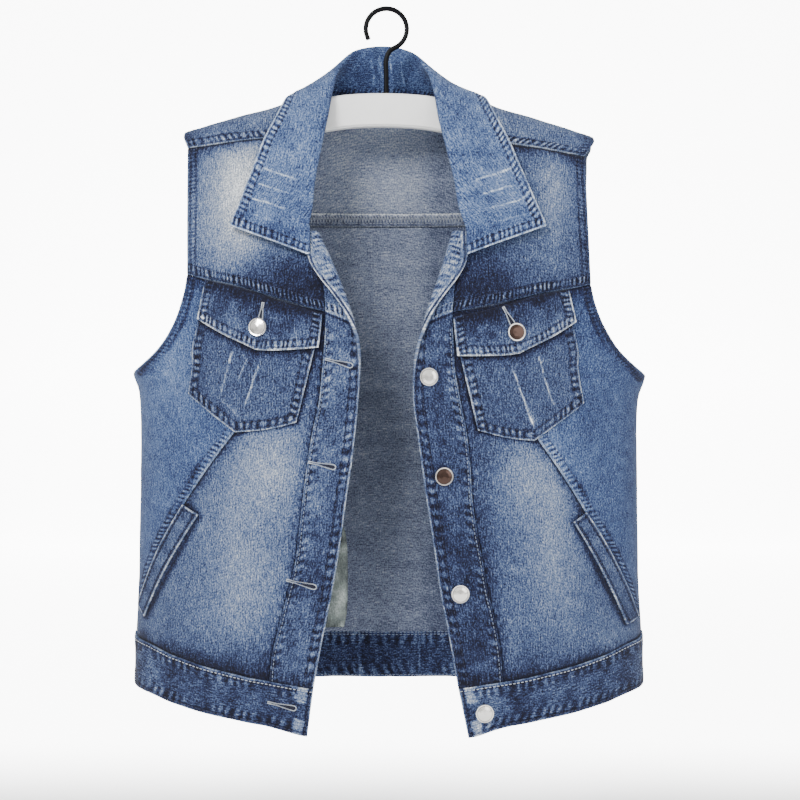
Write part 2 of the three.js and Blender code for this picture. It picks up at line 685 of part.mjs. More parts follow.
// Chest pocket, flap and welt lie on the panels, moved out.
function addPockets(sideName) {
  const side = SIDES[sideName];
  const spots = (points) => points.map((point) => spot(side.sign, point));
  const pocketInner = PANEL_WALL / 2 + LAYER_GAP;
  const pocketOuter = pocketInner + POCKET_WALL;
  const flapInner = pocketOuter + LAYER_GAP;

  const pocketTop = spots(side.pocketTop);
  const pocketBottom = spots(side.pocketBottom);
  addCloth(
    `chest_pocket_${sideName}`,
    onForm(net(
      run(pocketTop, [9]),
      run(pocketBottom, [4, 5]),
      run([pocketTop[0], pocketBottom[0]], [5]),
      run([pocketTop[1], pocketBottom[2]], [5]),
    )),
    pocketInner,
    pocketOuter,
  );

  const flapTop = spots(side.flapTop);
  const flapBottom = spots(side.flapBottom);
  addCloth(
    `pocket_flap_${sideName}`,
    onForm(net(
      run(flapTop, [5, 5]),
      run(flapBottom, [5, 5]),
      run([flapTop[0], flapBottom[0]], [3]),
      run([flapTop[2], flapBottom[2]], [3]),
    )),
    flapInner,
    flapInner + FLAP_WALL,
  );

  const [upper, inner, lower, outer] = spots(side.welt);
  const weltEnds = [run([upper, inner], [2]), run([outer, lower], [2])];
  const weltEdges = [run([upper, outer], [7]), run([inner, lower], [7])];
  addCloth(
    `welt_${sideName}`,
    onForm(net(...weltEnds, ...weltEdges)),
    pocketInner,
    pocketInner + WELT_WALL,
  );
  return flapInner + FLAP_WALL;
}

// Pocket bag inside the left front: it hangs free of the panel beside the opening.
const BAG_TOP = -480;
const BAG_BOTTOM = -569;
const BAG_INNER_EDGE = 37.5;
const BAG_OUTER_EDGE = 160;
const BAG_CORNER = 3.5;
const BAG_HANG = 15; // how far its free edge hangs behind the panel

function addPocketBag() {
  const rows = 6;
  const columns = 8;
  const grid = [];
  for (let j = 0; j <= rows; j += 1) {
    const v = j / rows;
    const row = [];
    for (let i = 0; i <= columns; i += 1) {
      const u = i / columns;
      const corner = BAG_CORNER * (Math.abs(2 * v - 1) ** 4);
      const out = BAG_INNER_EDGE + corner * (1 - u) ** 2 + (BAG_OUTER_EDGE - BAG_INNER_EDGE - corner) * u;
      const z = BAG_TOP + (BAG_BOTTOM - BAG_TOP) * v;
      const { p, n } = formAt(spot(-1, [out, z]));
      const inside = BAND_WALL / 2 + LAYER_GAP + BAG_WALL / 2 + BAG_HANG * (1 - u) ** 2;
      row.push({ p: p.addScaledVector(n, -inside), n });
    }
    grid.push(row);
  }
  addCloth('pocket_bag_left', grid, -BAG_WALL / 2, BAG_WALL / 2, COLOURS.bag);
}

function collarPoint([x, y, z], sign, skew, rise) {
  return new THREE.Vector3(sign * x - skew + VEST_SHIFT, y, z - sign * rise);
}

// Points of one collar row, from the neck seam over the roll to the outer edge.
function collarProfile(row, sign) {
  const [[out, place, lift], rollSpot, edgeSpot, fold, skew, rise, bulge] = row;
  const neckSpot = formAt(spotAlong(sign, out, place));
  const seam = neckSpot.p.addScaledVector(neckSpot.n, lift);
  const roll = collarPoint(rollSpot, sign, skew, rise);
  const edge = collarPoint(edgeSpot, sign, skew * EDGE_SKEW_SHARE, rise * EDGE_RISE_SHARE);
  const stand = roll.clone().sub(seam);
  const start = seam.clone().addScaledVector(stand.clone().normalize(), COLLAR_SEAM_STEP);
  const fall = edge.clone().sub(roll);
  const along = neckSpot.n.dot(fall) / fall.lengthSq();
  const out3 = neckSpot.n.clone().addScaledVector(fall, -along).normalize();
  const gap = ROLL_HALF_GAP * fold;
  const standPoint = (f, away) => start.clone().lerp(roll, f).addScaledVector(out3, -away);
  const leafPoint = (f, away) => roll.clone().lerp(edge, f).addScaledVector(out3, away);
  return [
    start,
    standPoint(0.45, gap * 0.9),
    standPoint(0.85, gap),
    standPoint(1, 0),
    leafPoint(0.05, gap),
    leafPoint(0.25, gap + bulge),
    leafPoint(0.6, gap * 0.6 + bulge),
    leafPoint(1, 0),
  ];
}

const COLLAR_PROFILE_STEPS = 11;

function addCollar() {
  const left = COLLAR_ROWS.map((row) => collarProfile(row, -1));
  const right = COLLAR_ROWS.slice(0, -1).map((row) => collarProfile(row, 1)).reverse();
  const profiles = [...left, ...right];
  const stations = (profiles.length - 1) * 2;
  const lines = profiles[0].map((unused, k) => (
    new THREE.CatmullRomCurve3(profiles.map((profile) => profile[k]), false, 'centripetal')
  ));
  const surface = [];
  for (let i = 0; i <= stations; i += 1) {
    const points = lines.map((line) => line.getPoint(i / stations));
    const curve = new THREE.CatmullRomCurve3(points, false, 'centripetal');
    const row = [];
    for (let k = 0; k <= COLLAR_PROFILE_STEPS; k += 1) {
      row.push(curve.getPoint(k / COLLAR_PROFILE_STEPS));
    }
    surface.push(row);
  }
  const within = (value, last) => Math.max(0, Math.min(value, last));
  const at = (i, k) => surface[within(i, stations)][within(k, COLLAR_PROFILE_STEPS)];
  const grid = surface.map((row, i) => row.map((p, k) => {
    const lengthwise = at(i + 1, k).clone().sub(at(i - 1, k));
    const across = at(i, k + 1).clone().sub(at(i, k - 1));
    return { p, n: across.cross(lengthwise).normalize() };
  }));
  addCloth('collar', grid, -COLLAR_WALL / 2, COLLAR_WALL / 2);
}

function addButton({ name, side, out, z, on }, flapTop) {
  const profile = [
    [0, 0],
    [5, 0],
    [5.2, 0.9],
    [BUTTON_RADIUS - 0.4, 1.2],
    [BUTTON_RADIUS, 2],
    [BUTTON_RADIUS - 0.5, 2.8],
    [BUTTON_RADIUS - 1.5, 2.7],
    [4, 3.3],
    [0, 3.6],
  ].map(([r, h]) => new THREE.Vector2(r, h));
  const geometry = new THREE.LatheGeometry(profile, 20);
  const { p, n } = formAt(spot(SIDES[side].sign, [out, z]));
  const base = (on === 'flap' ? flapTop : on) + BUTTON_LIFT;
  geometry.applyQuaternion(new THREE.Quaternion().setFromUnitVectors(new THREE.Vector3(0, 1, 0), n));
  const centre = p.addScaledVector(n, base);
  geometry.translate(centre.x, centre.y, centre.z);
  addMesh(name, geometry, COLOURS.metal, 0.9);
}

function addBoard() {
  const mirrored = (edge) => {
    const points = BOARD_EDGES.map((row) => new THREE.Vector2(row.out, row[edge]));
    return [...points.slice(1).reverse().map((point) => new THREE.Vector2(-point.x, point.y)), ...points];
  };
  const shape = new THREE.Shape();
  const top = mirrored('top');
  const bottom = mirrored('bottom').reverse();
  shape.moveTo(top[0].x, top[0].y);
  shape.splineThru(top.slice(1));
  shape.quadraticCurveTo(BOARD_END.out, top[top.length - 1].y - 2, BOARD_END.out, BOARD_END.z);
  shape.quadraticCurveTo(BOARD_END.out, bottom[0].y + 1, bottom[0].x, bottom[0].y);
  shape.splineThru(bottom.slice(1));
  shape.quadraticCurveTo(-BOARD_END.out, bottom[0].y + 1, -BOARD_END.out, BOARD_END.z);
  shape.quadraticCurveTo(-BOARD_END.out, top[0].y - 2, top[0].x, top[0].y);
  const geometry = new THREE.ExtrudeGeometry(shape, {
    depth: BOARD_THICKNESS - 2 * BOARD_BEVEL,
    curveSegments: 2,
    bevelEnabled: true,
    bevelThickness: BOARD_BEVEL,
    bevelSize: BOARD_BEVEL,
    bevelOffset: -BOARD_BEVEL,
    bevelSegments: 1,
  });
  geometry.translate(0, 0, BOARD_BEVEL - BOARD_THICKNESS / 2);
  geometry.rotateX(Math.PI / 2);
  geometry.translate(0, 0, BOARD_PIVOT);
  geometry.rotateY(Math.atan(SHOULDER_LEAN));
  geometry.translate(0, 0, -BOARD_PIVOT);
  addMesh('hanger_board', geometry, COLOURS.board);
}

function addHook() {
  const radius = HOOK_RADIUS + WIRE_RADIUS;
  const centre = -HOOK_RADIUS;
  const points = [
    new THREE.Vector3(0, 0, STEM_BOTTOM + 6.5),
    new THREE.Vector3(0, 0, -62),
    new THREE.Vector3(0, 0, centre - radius - 9),
    new THREE.Vector3(3.5, 0, centre - radius - 1),
  ];
  for (let degrees = -50; degrees <= 210; degrees += 20) {
    const angle = THREE.MathUtils.degToRad(degrees);
    points.push(new THREE.Vector3(radius * Math.cos(angle), 0, centre + radius * Math.sin(angle)));
  }
  const path = new THREE.CatmullRomCurve3(points, false, 'centripetal');
  const section = new THREE.Shape();
  section.absarc(0, 0, WIRE_RADIUS, 0, Math.PI * 2);
  const geometry = new THREE.ExtrudeGeometry(section, {
    steps: 38,
    curveSegments: 5,
    bevelEnabled: false,
    extrudePath: path,
  });
  addMesh('hanger_hook', geometry, COLOURS.wire, 0.7);
}

addBack();
let flapTop = 0;
for (const sideName of ['left', 'right']) {
  addFront(sideName);
  addButtonBand(sideName);
  flapTop = addPockets(sideName);
}
addHemBand();
addPocketBag();
addCollar();
for (const button of BUTTONS) {
  addButton(button, flapTop);
}
addBoard();
addHook();

export default vest;
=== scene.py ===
import json
import math
import bpy
import numpy as np
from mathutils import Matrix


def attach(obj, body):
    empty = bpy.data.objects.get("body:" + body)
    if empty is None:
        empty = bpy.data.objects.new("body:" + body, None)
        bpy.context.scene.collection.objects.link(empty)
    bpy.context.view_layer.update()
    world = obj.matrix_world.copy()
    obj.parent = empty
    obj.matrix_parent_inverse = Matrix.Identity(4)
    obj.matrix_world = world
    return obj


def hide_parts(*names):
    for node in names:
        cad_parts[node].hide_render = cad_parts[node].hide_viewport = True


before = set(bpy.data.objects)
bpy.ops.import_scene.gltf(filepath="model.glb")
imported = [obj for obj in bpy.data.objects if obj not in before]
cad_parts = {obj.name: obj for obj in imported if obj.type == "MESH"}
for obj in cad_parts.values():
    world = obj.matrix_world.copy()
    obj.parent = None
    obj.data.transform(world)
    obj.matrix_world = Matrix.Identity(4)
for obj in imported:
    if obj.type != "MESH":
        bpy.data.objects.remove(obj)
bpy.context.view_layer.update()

MM = 0.001
UP = np.array([0.0, 0.0, 1.0])

# Camera: level, in front of the vest, with the photograph's scale at the hanger.
CAMERA_DISTANCE = 1300.0
MM_PER_PIXEL = 0.94
CAMERA_X = 12.9
CAMERA_Z = -365.6
IMAGE_SIDE = 800
SENSOR = 36.0

camera_data = bpy.data.cameras.new("camera")
camera_data.sensor_width = SENSOR
camera_data.lens = SENSOR * CAMERA_DISTANCE / (IMAGE_SIDE * MM_PER_PIXEL)
camera_data.clip_start = 0.05
camera_data.clip_end = 20
camera = bpy.data.objects.new("camera", camera_data)
camera.location = (CAMERA_X * MM, -CAMERA_DISTANCE * MM, CAMERA_Z * MM)
camera.rotation_euler = (math.radians(90), 0, 0)
bpy.context.scene.collection.objects.link(camera)
bpy.context.scene.camera = camera

# Sizes of the vest in millimetres, as in its solids
PANEL_WALL = 1.5
BAND_WALL = 2.6
COLLAR_WALL = 2.2
POCKET_WALL = 1.5
FLAP_WALL = 2.0
WELT_WALL = 1.8
BAG_WALL = 1.2
LAYER_GAP = 0.3
VEST_SHIFT = 2.6
BAND_HEIGHT = 39.5
BAND_FLARE = 5.0
FLARE_START = 0.48
FLARE_END = 1.2
RIDGE_RADIUS = 10.0
RIDGE_QUARTER = 17.0
RIDGE_DEPTH = 13.0
FRONT_DEPTH = 79.0
FRONT_FALL = 250.0
BACK_DEPTH = 56.0
BACK_FALL = 160.0
FALL_POWER = 1.7
NAPE_BULGE = 20.0
NAPE_HALF_WIDTH = 65.0
NAPE_HEIGHT = 80.0

# Height of the shoulder line at a distance from the centre, and how much lower it lies to the right.
SHOULDER_LINE = [
    (0, -62), (30, -64), (54, -70.5), (80, -81.5), (107, -92.3),
    (139, -100.8), (177, -113), (192, -118), (240, -136), (270, -148),
]
SHOULDER_LEAN = 0.0113

# Half width of the form at a distance below the shoulder line.
HALF_WIDTH = [
    (0, 240), (190, 240), (208, 239.6), (226, 233.8), (255, 232),
    (316, 232.2), (382, 233.2), (426, 235), (457, 236.8), (530, 237.2),
]

# Soft folds: x, z, half length, half width, tilt in degrees, depth.
FRONT_FOLDS = [
    (-196, -352, 60, 13, 52, -2.6),
    (208, -376, 45, 12, -52, -2.2),
    (-118, -500, 85, 20, 84, 2.2),
    (128, -520, 90, 22, 94, 2.4),
    (-212, -470, 60, 16, 78, -2),
    (206, -500, 62, 16, 100, -2),
]
BACK_FOLDS = [
    (-92, -380, 130, 20, 86, 3),
    (-30, -470, 110, 22, 92, -2.6),
    (74, -400, 140, 20, 95, 3),
    (150, -480, 90, 20, 84, -2.2),
    (-160, -330, 60, 15, 58, -2.2),
]

SIDES = {
    "left": dict(
        sign=-1,
        shoulder_outer=(187, -131.5),
        shoulder_inner=(80, -116.5),
        yoke_outer=(183, -251),
        yoke_middle=(114, -270),
        armhole=[(186.5, -271), (195, -296), (209, -317.3), (225, -331.6), (238, -341)],
        pocket_tip=(137, -394),
        welt=[(185.2, -460.2), (170.1, -468.8), (223.6, -564.8), (230.5, -554.3)],
        flap_top=[(164, -257.6), (114, -271.6), (58, -289)],
        flap_bottom=[(171, -293), (118, -321), (61, -319.5)],
        pocket_top=[(166, -272), (60.5, -302)],
        pocket_bottom=[(179.4, -359.8), (136, -394.5), (81, -385.5)],
        band_edge_top=(66.5, -621.5),
        band_edge_bottom=(72, -659),
        band_seam=(105.5, -615.8),
    ),
    "right": dict(
        sign=1,
        shoulder_outer=(181.5, -139.5),
        shoulder_inner=(80, -121.5),
        yoke_outer=(183.5, -260.3),
        yoke_middle=(114, -275.5),
        armhole=[(188, -280), (197, -301), (210, -320), (226, -334), (238.4, -343)],
        pocket_tip=(134, -402),
        welt=[(177.6, -467), (165.7, -475.3), (216.5, -571), (229, -565.5)],
        flap_top=[(161, -266.4), (114, -278), (57, -292.5)],
        flap_bottom=[(167.5, -296), (116, -324.4), (60.5, -326.8)],
        pocket_top=[(160.5, -280), (58.5, -307)],
        pocket_bottom=[(174.8, -368.3), (129.5, -402), (79, -392.5)],
        band_edge_top=(62, -621),
        band_edge_bottom=(71, -660.5),
        band_seam=(101.5, -616.2),
    ),
}

# Button bands: height, seam and edge on the left, seam and edge on the right, turn, lap.
BAND_ROWS = [
    (-216, 73, 63, 71, 57.5, 180, 9),
    (-230, 68.5, 56.5, 67, 53.3, 180, 14),
    (-244, 64, 50, 63.5, 49.3, 180, 17),
    (-258, 59.5, 44.2, 60, 44.8, 180, 14),
    (-272, 56.5, 38.8, 58, 39.8, 175, 8.5),
    (-287.5, 55.5, 33.4, 56.8, 34.6, 155, 4),
    (-304, 55.8, 28.3, 57, 29.7, 110, 2.5),
    (-322, 57, 25, 58, 24.6, 55, 2),
    (-340, 58.5, 24.6, 59, 21.8, 15, 2),
    (-368, 61.5, 26.6, 64, 22, 0, 2),
    (-396, 67.5, 29.2, 69.3, 25.6, 0, 2),
    (-424, 72, 32.6, 72.4, 29.4, 0, 2),
    (-452, 75.5, 36.8, 74, 33.4, 0, 2),
    (-480, 78.8, 40.6, 78, 37.8, 0, 2),
    (-508, 82.2, 44.8, 83.4, 42, 0, 2),
    (-536, 89, 49.8, 88.2, 46, 0, 2),
    (-564, 96.4, 55.4, 95, 51.6, 0, 2),
    (-592, 103, 61, 99.6, 56.6, 0, 2),
]
ROWS_ABOVE_YOKE_SEAM = 5
TURN_LENGTH = 7.0
TURN_AIM = 1.0

NECK_EDGE = [(79, -31), (77, -19), (73.5, -8), (68, 2.5), (57, 11), (40, 16), (20, 17.3)]
NECK_CENTRE = (0, 17)
NECK_FRONT = [(81, -150), (80, -185)]

# Collar: neck seam (out, along, lift), roll and edge (x, y, z), fold, skew, rise, bulge.
COLLAR_ROWS = [
    ((67.5, -169, 8.2), (71, -72.2, -236.2), (142.8, -51.5, -208.6), 0, 0.8, 0, 1.2),
    ((68, -146, 7.6), (71.5, -68.3, -215), (134.8, -47.5, -188.5), 0.1, 1.2, 0, 1.2),
    ((73, -122, 4), (66.5, -64.6, -194), (126.6, -44, -167), 0.6, 2.4, 0, 1.2),
    ((80.6, -91.5, 0), (63.5, -56.5, -168), (120, -41, -150), 1, 3.4, 0, 1.2),
    ((80.5, -62, 0), (57.8, -45, -138), (112, -35.5, -128), 1, 4.2, 0.6, 1.4),
    ((78, -28, 0), (51.8, -28, -106), (102, -28, -107), 1, 4.8, 1.4, 2),
    ((71.8, -3.5, 0), (47.5, -8, -74), (90.5, -6, -82.3), 1, 5, 2.2, 2.8),
    ((61, 8.7, 0), (41, 8, -51), (80, 24, -87.2), 1, 4.6, 2.4, 2.8),
    ((42, 15.2, 0), (29, 18.5, -35.5), (63, 45, -97), 1, 4.4, 1.6, 1.8),
    ((20, 17.4, 0), (14, 24.5, -29), (32, 55, -101), 1, 4, 0.6, 1.2),
    ((0, 17, 0), (0, 26, -27.5), (0, 59, -103), 1, 4, 0, 1.2),
]
COLLAR_SEAM_STEP = 0.9
ROLL_HALF_GAP = 2.1

HEM_FRONT = [(130, -612), (160, -606.3), (193, -598), (221, -588.8)]
HEM_SIDE = -581.8
HEM_BACK_DROP = 10.0
SIDE_TOP = -358
BACK_YOKE_SEAM = (188, -196)
BACK_YOKE_SEAM_CENTRE = -197
BACK_ARMHOLE = [(187, -230), (190, -262), (200, -293), (217, -321), (238.2, -342)]
BACK_YOKE_EDGE = [77, 63, 49, 36, 25, 17, 11, 5, -1, -7, -13]

BAG_TOP = -480.0
BAG_BOTTOM = -569
BAG_INNER_EDGE = 37.5
BAG_OUTER_EDGE = 160
BAG_CORNER = 3.5
BAG_HANG = 15


# The form

def smooth(table, at):
    """A value from a table, with smooth change between the rows."""
    xs, ys = np.array(table, float).T
    lower = np.concatenate([[0], np.arange(len(xs) - 1)])
    upper = np.concatenate([np.arange(1, len(xs)), [len(xs) - 1]])
    slopes = (ys[upper] - ys[lower]) / (xs[upper] - xs[lower])
    at = np.clip(at, xs[0], xs[-1])
    k = np.clip(np.searchsorted(xs, at, side="right") - 1, 0, len(xs) - 2)
    span = xs[k + 1] - xs[k]
    s = (at - xs[k]) / span
    rise = ys[k + 1] - ys[k]
    m0 = slopes[k] * span
    m1 = slopes[k + 1] * span
    return ys[k] + m0 * s + (3 * rise - 2 * m0 - m1) * s**2 + (m0 + m1 - 2 * rise) * s**3


def fold_depth(folds, x, z):
    total = np.zeros_like(x)
    for fx, fz, length, width, tilt, depth in folds:
        angle = math.radians(tilt)
        dx = x - fx
        dz = z - fz
        lengthwise = (dx * math.cos(angle) + dz * math.sin(angle)) / length
        across = (-dx * math.sin(angle) + dz * math.cos(angle)) / width
        total += depth * np.exp(-lengthwise**2 - across**2)
    return total


def fall_off(part):
    return 1 - (1 - np.minimum(part, 1)) ** FALL_POWER


def over_ridge(place):
    """Distance below the shoulder line and share of the depth, at a place along the cloth."""
    distance = np.abs(place)
    angle = np.minimum(distance / RIDGE_QUARTER, 1) * (math.pi / 2)
    beyond = np.maximum(distance - RIDGE_QUARTER, 0)
    return RIDGE_RADIUS * (1 - np.cos(angle)) + beyond, np.sin(angle)


def shoulder_height(x):
    return smooth(SHOULDER_LINE, np.abs(x)) - SHOULDER_LEAN * x


def form_point(angle, place):
    """Points of the body form: angle across it from the centre and place along the cloth."""
    angle, place = np.broadcast_arrays(np.asarray(angle, float), np.asarray(place, float))
    below, share = over_ridge(place)
    x = smooth(HALF_WIDTH, below) * np.sin(angle)
    z = shoulder_height(x) - below
    front = RIDGE_DEPTH + (FRONT_DEPTH - RIDGE_DEPTH) * fall_off(below / FRONT_FALL)
    front = -(front + fold_depth(FRONT_FOLDS, x, z))
    nape = NAPE_BULGE * np.exp(-((x / NAPE_HALF_WIDTH) ** 2) - (below / NAPE_HEIGHT) ** 2)
    back = RIDGE_DEPTH + (BACK_DEPTH - RIDGE_DEPTH) * fall_off(below / BACK_FALL) + nape
    back = back + fold_depth(BACK_FOLDS, x, z)
    y = np.where(place < 0, front, back) * np.cos(angle) * share
    return np.stack([x + VEST_SHIFT, y, z], axis=-1)


def unit(vectors):
    return vectors / np.maximum(np.linalg.norm(vectors, axis=-1, keepdims=True), 1e-9)


def form_normal(angle, place):
    across = form_point(angle + 0.001, place) - form_point(angle - 0.001, place)
    down = form_point(angle, place + 0.2) - form_point(angle, place - 0.2)
    return unit(np.cross(across, down))


def spot(sign, point, back=False):
    """Angle and place of a point given by its distance from the centre and its height."""
    out, z = point
    below = float(shoulder_height(sign * out)) - z
    place = RIDGE_QUARTER + below - RIDGE_RADIUS
    ratio = min(1.0, out / float(smooth(HALF_WIDTH, below)))
    return (sign * math.asin(ratio), place if back else -place)


def spot_along(sign, out, place):
    below = float(over_ridge(place)[0])
    return (sign * math.asin(min(1.0, out / float(smooth(HALF_WIDTH, below)))), place)


def side_spot(sign, z, back=False):
    below = 0.0
    for _ in range(8):
        below = float(shoulder_height(sign * smooth(HALF_WIDTH, below))) - z
    place = RIDGE_QUARTER + below - RIDGE_RADIUS
    return (sign * math.pi / 2, place if back else -place)


# Edges and nets

class Edge:
    """A line of spots made of runs: each has corners, steps between them, and may be smooth."""

    def __init__(self, *runs):
        self.runs = []
        start = 0
        for corners, steps, is_smooth in runs:
            corners = np.array(corners, float)
            if np.isscalar(steps):
                steps = [steps] * (len(corners) - 1)
            knots = start + np.concatenate([[0], np.cumsum(steps)])
            self.runs.append((knots, corners, is_smooth))
            start = knots[-1]
        self.count = start

    def at(self, s):
        s = np.asarray(s, float)
        out = np.zeros(s.shape + (2,))
        for knots, corners, is_smooth in self.runs:
            inside = (s >= knots[0] - 1e-9) & (s <= knots[-1] + 1e-9)
            for axis in (0, 1):
                if is_smooth:
                    value = smooth(list(zip(knots, corners[:, axis])), s[inside])
                else:
                    value = np.interp(s[inside], knots, corners[:, axis])
                out[inside, axis] = value
        return out


def spread(first, second, step):
    """Places along two opposite edges, about a step apart on the cloth."""
    s = np.linspace(0, first.count, 600)
    length = np.zeros(len(s))
    for line in (first, second):
        spots = line.at(s)
        points = form_point(spots[:, 0], spots[:, 1])
        length[1:] += np.cumsum(np.linalg.norm(np.diff(points, axis=0), axis=1)) / 2
    count = max(4, int(round(length[-1] / step)))
    return np.interp(np.linspace(0, length[-1], count + 1), length, s)


FACE = 0
INSIDE = 1
FAR = 99.0


class Cloth:
    """Rows of points with directions, distances to the edges along the cloth, and its finish."""

    def __init__(self, points, normals, grain):
        shape = points.shape[:2]
        self.p = points
        self.n = normals
        self.grain = grain
        along = np.linalg.norm(np.diff(points, axis=1), axis=2)
        down = np.linalg.norm(np.diff(points, axis=0), axis=2)
        self.across = np.pad(np.cumsum(along, axis=1), ((0, 0), (1, 0)))
        self.down = np.pad(np.cumsum(down, axis=0), ((1, 0), (0, 0)))
        self.relief = np.zeros(shape)
        self.tone = np.zeros((2,) + shape)
        self.seams = np.zeros((2, 2) + shape + (3,))
        self.seams[..., 1] = FAR

    def distance(self, edge):
        if edge == "left":
            return self.across
        if edge == "right":
            return self.across[:, -1:] - self.across
        if edge == "top":
            return self.down
        return self.down[-1:, :] - self.down

    def position(self, edge):
        return self.down if edge in ("left", "right") else self.across

    def share(self, edge):
        """Part of the way along an edge, 0 to 1."""
        along = self.position(edge)
        total = along[-1:, :] if edge in ("left", "right") else along[:, -1:]
        return along / np.maximum(total, 1e-6)

    def cut(self):
        """Width, length and area of the flat piece, in metres."""
        width = self.across[:, -1].max()
        length = self.down[-1, :].max()
        cross = np.cross(
            self.p[:-1, 1:] - self.p[:-1, :-1],
            self.p[1:, :-1] - self.p[:-1, :-1],
        )
        area = min(np.linalg.norm(cross, axis=2).sum(), width * length)
        return width * MM, length * MM, area * MM * MM


def net(top, bottom, left, right, step):
    """The cloth between four edges, on the form."""
    su = spread(top, bottom, step)
    sv = spread(left, right, step)
    u = (su / top.count)[None, :, None]
    v = (sv / left.count)[:, None, None]
    t, b, l, r = top.at(su)[None], bottom.at(su)[None], left.at(sv)[:, None], right.at(sv)[:, None]
    corners = [top.at(0.0), top.at(float(top.count)), bottom.at(0.0), bottom.at(float(bottom.count))]
    upper = (1 - u) * corners[0] + u * corners[1]
    lower = (1 - u) * corners[2] + u * corners[3]
    spots = (1 - v) * t + v * b + (1 - u) * l + u * r - (1 - v) * upper - v * lower
    angle, place = spots[..., 0], spots[..., 1]
    grain = np.stack([angle * 215.0, place], axis=-1)
    return Cloth(form_point(angle, place), form_normal(angle, place), grain)


# Seeded noise along lines and over cloth

def line_noise(at, size, seed):
    """Smooth noise from -1 to 1 along a line."""
    values = np.random.default_rng(seed).uniform(-1, 1, 4096)
    x = np.asarray(at) / size + 512
    k = np.floor(x).astype(int)
    f = x - k
    f = f * f * (3 - 2 * f)
    return values[k % 4096] * (1 - f) + values[(k + 1) % 4096] * f


def field_noise(x, z, size, seed):
    """Smooth noise from -1 to 1 over a surface."""
    values = np.random.default_rng(seed).uniform(-1, 1, (256, 256))
    x = np.asarray(x) / size + 1000
    z = np.asarray(z) / size + 1000
    kx, kz = np.floor(x).astype(int), np.floor(z).astype(int)
    fx, fz = x - kx, z - kz
    fx, fz = fx * fx * (3 - 2 * fx), fz * fz * (3 - 2 * fz)
    a = values[kx % 256, kz % 256] * (1 - fx) + values[(kx + 1) % 256, kz % 256] * fx
    b = values[kx % 256, (kz + 1) % 256] * (1 - fx) + values[(kx + 1) % 256, (kz + 1) % 256] * fx
    return a * (1 - fz) + b * fz


# Seam finishes: rows of stitches (distances from the edge), spacing and strength of the puckers,
# width of the puckered band, tone line at the edge (a worn bead where positive, a painted shadow
# line where negative), lift of the doubled cloth, painted shade along the edge (lighter where
# positive) and how far it reaches.
FINISH_COLUMNS = ("rows", "pitch", "rope", "band", "bead_and_shadow", "lift", "shade", "reach")
FINISH_ROWS = {
    "lap": ((2.2, 8.8), 4.3, 0.31, 11, 0.24, 0.55, -0.1, 12),
    "shoulder": ((2.2, 8.8), 6.2, 0.27, 11, 0.3, 0.55, -0.06, 12),
    "slant": ((2.2, 8.8), 4.5, 0.2, 11, 0.32, 0.5, -0.05, 12),
    "pocket": ((2.4, 8.8), 7.4, 0.22, 11, 0.48, 0.45, -0.02, 12),
    "flap": ((2.4, 8.6), 5.0, 0.26, 10.5, 0.5, 0.45, 0.08, 10),
    "collar": ((2.4, 8.8), 5.4, 0.26, 12, 0.58, 0.4, 0.02, 12),
    "opening": ((2.4, 8.8), 9.4, 0.17, 12, 0.4, 0.4, -0.04, 12),
    "hem": ((2.6,), 8.6, 0.17, 12, 0.34, 0.3, -0.06, 12),
    "armhole": ((3.4, 8.6), 3.8, 0.09, 11, 0.16, 0.35, -0.1, 12),
    "band": ((2.4,), 9.0, 0.15, 10, 0.3, 0.3, 0.0, 8),
    "neck": ((2.4,), 4.4, 0.14, 8, 0.1, 0.2, -0.1, 8),
    "trim": ((2.4,), 4.6, 0.05, 6, 0.46, 0.25, -0.02, 5),
    "facing": ((2.4,), 5.6, 0.16, 12, 0.56, 0.0, 0.0, 9),
    "inner_hem": ((), 9.8, 0.16, 15, 0.2, 0.0, 0.06, 12),
    "under": ((), 5.0, 0.06, 9, -0.62, -1.1, -0.2, 9),
    "beside": ((), 9.0, 0.05, 8, -0.3, -0.7, -0.1, 9),
    "plain": ((), 9.0, 0.04, 6, -0.15, -0.3, -0.04, 5),
}
FINISHES = {name: dict(zip(FINISH_COLUMNS, row)) for name, row in FINISH_ROWS.items()}
ROPE_BAND = 12.0

stitch_lines = []


def window(share, start, end):
    """One between two parts of an edge, falling softly to nothing outside."""
    soft = 0.01
    return np.clip((share - start) / soft + 0.5, 0, 1) * np.clip((end - share) / soft + 0.5, 0, 1)


def note_seam(cloth, face, pair, d, s, strength, band, pitch, seed):
    """Keeps the nearer seam of a pair for the puckers: count of puckers, distance and strength."""
    seams = cloth.seams[face, pair]
    away = d * ROPE_BAND / band
    nearer = (away < seams[..., 1]) & (d > -0.5) & (strength > 0)
    values = np.stack(np.broadcast_arrays(s / pitch + 7.3 * seed, away, strength), axis=-1)
    seams[nearer] = values[nearer]


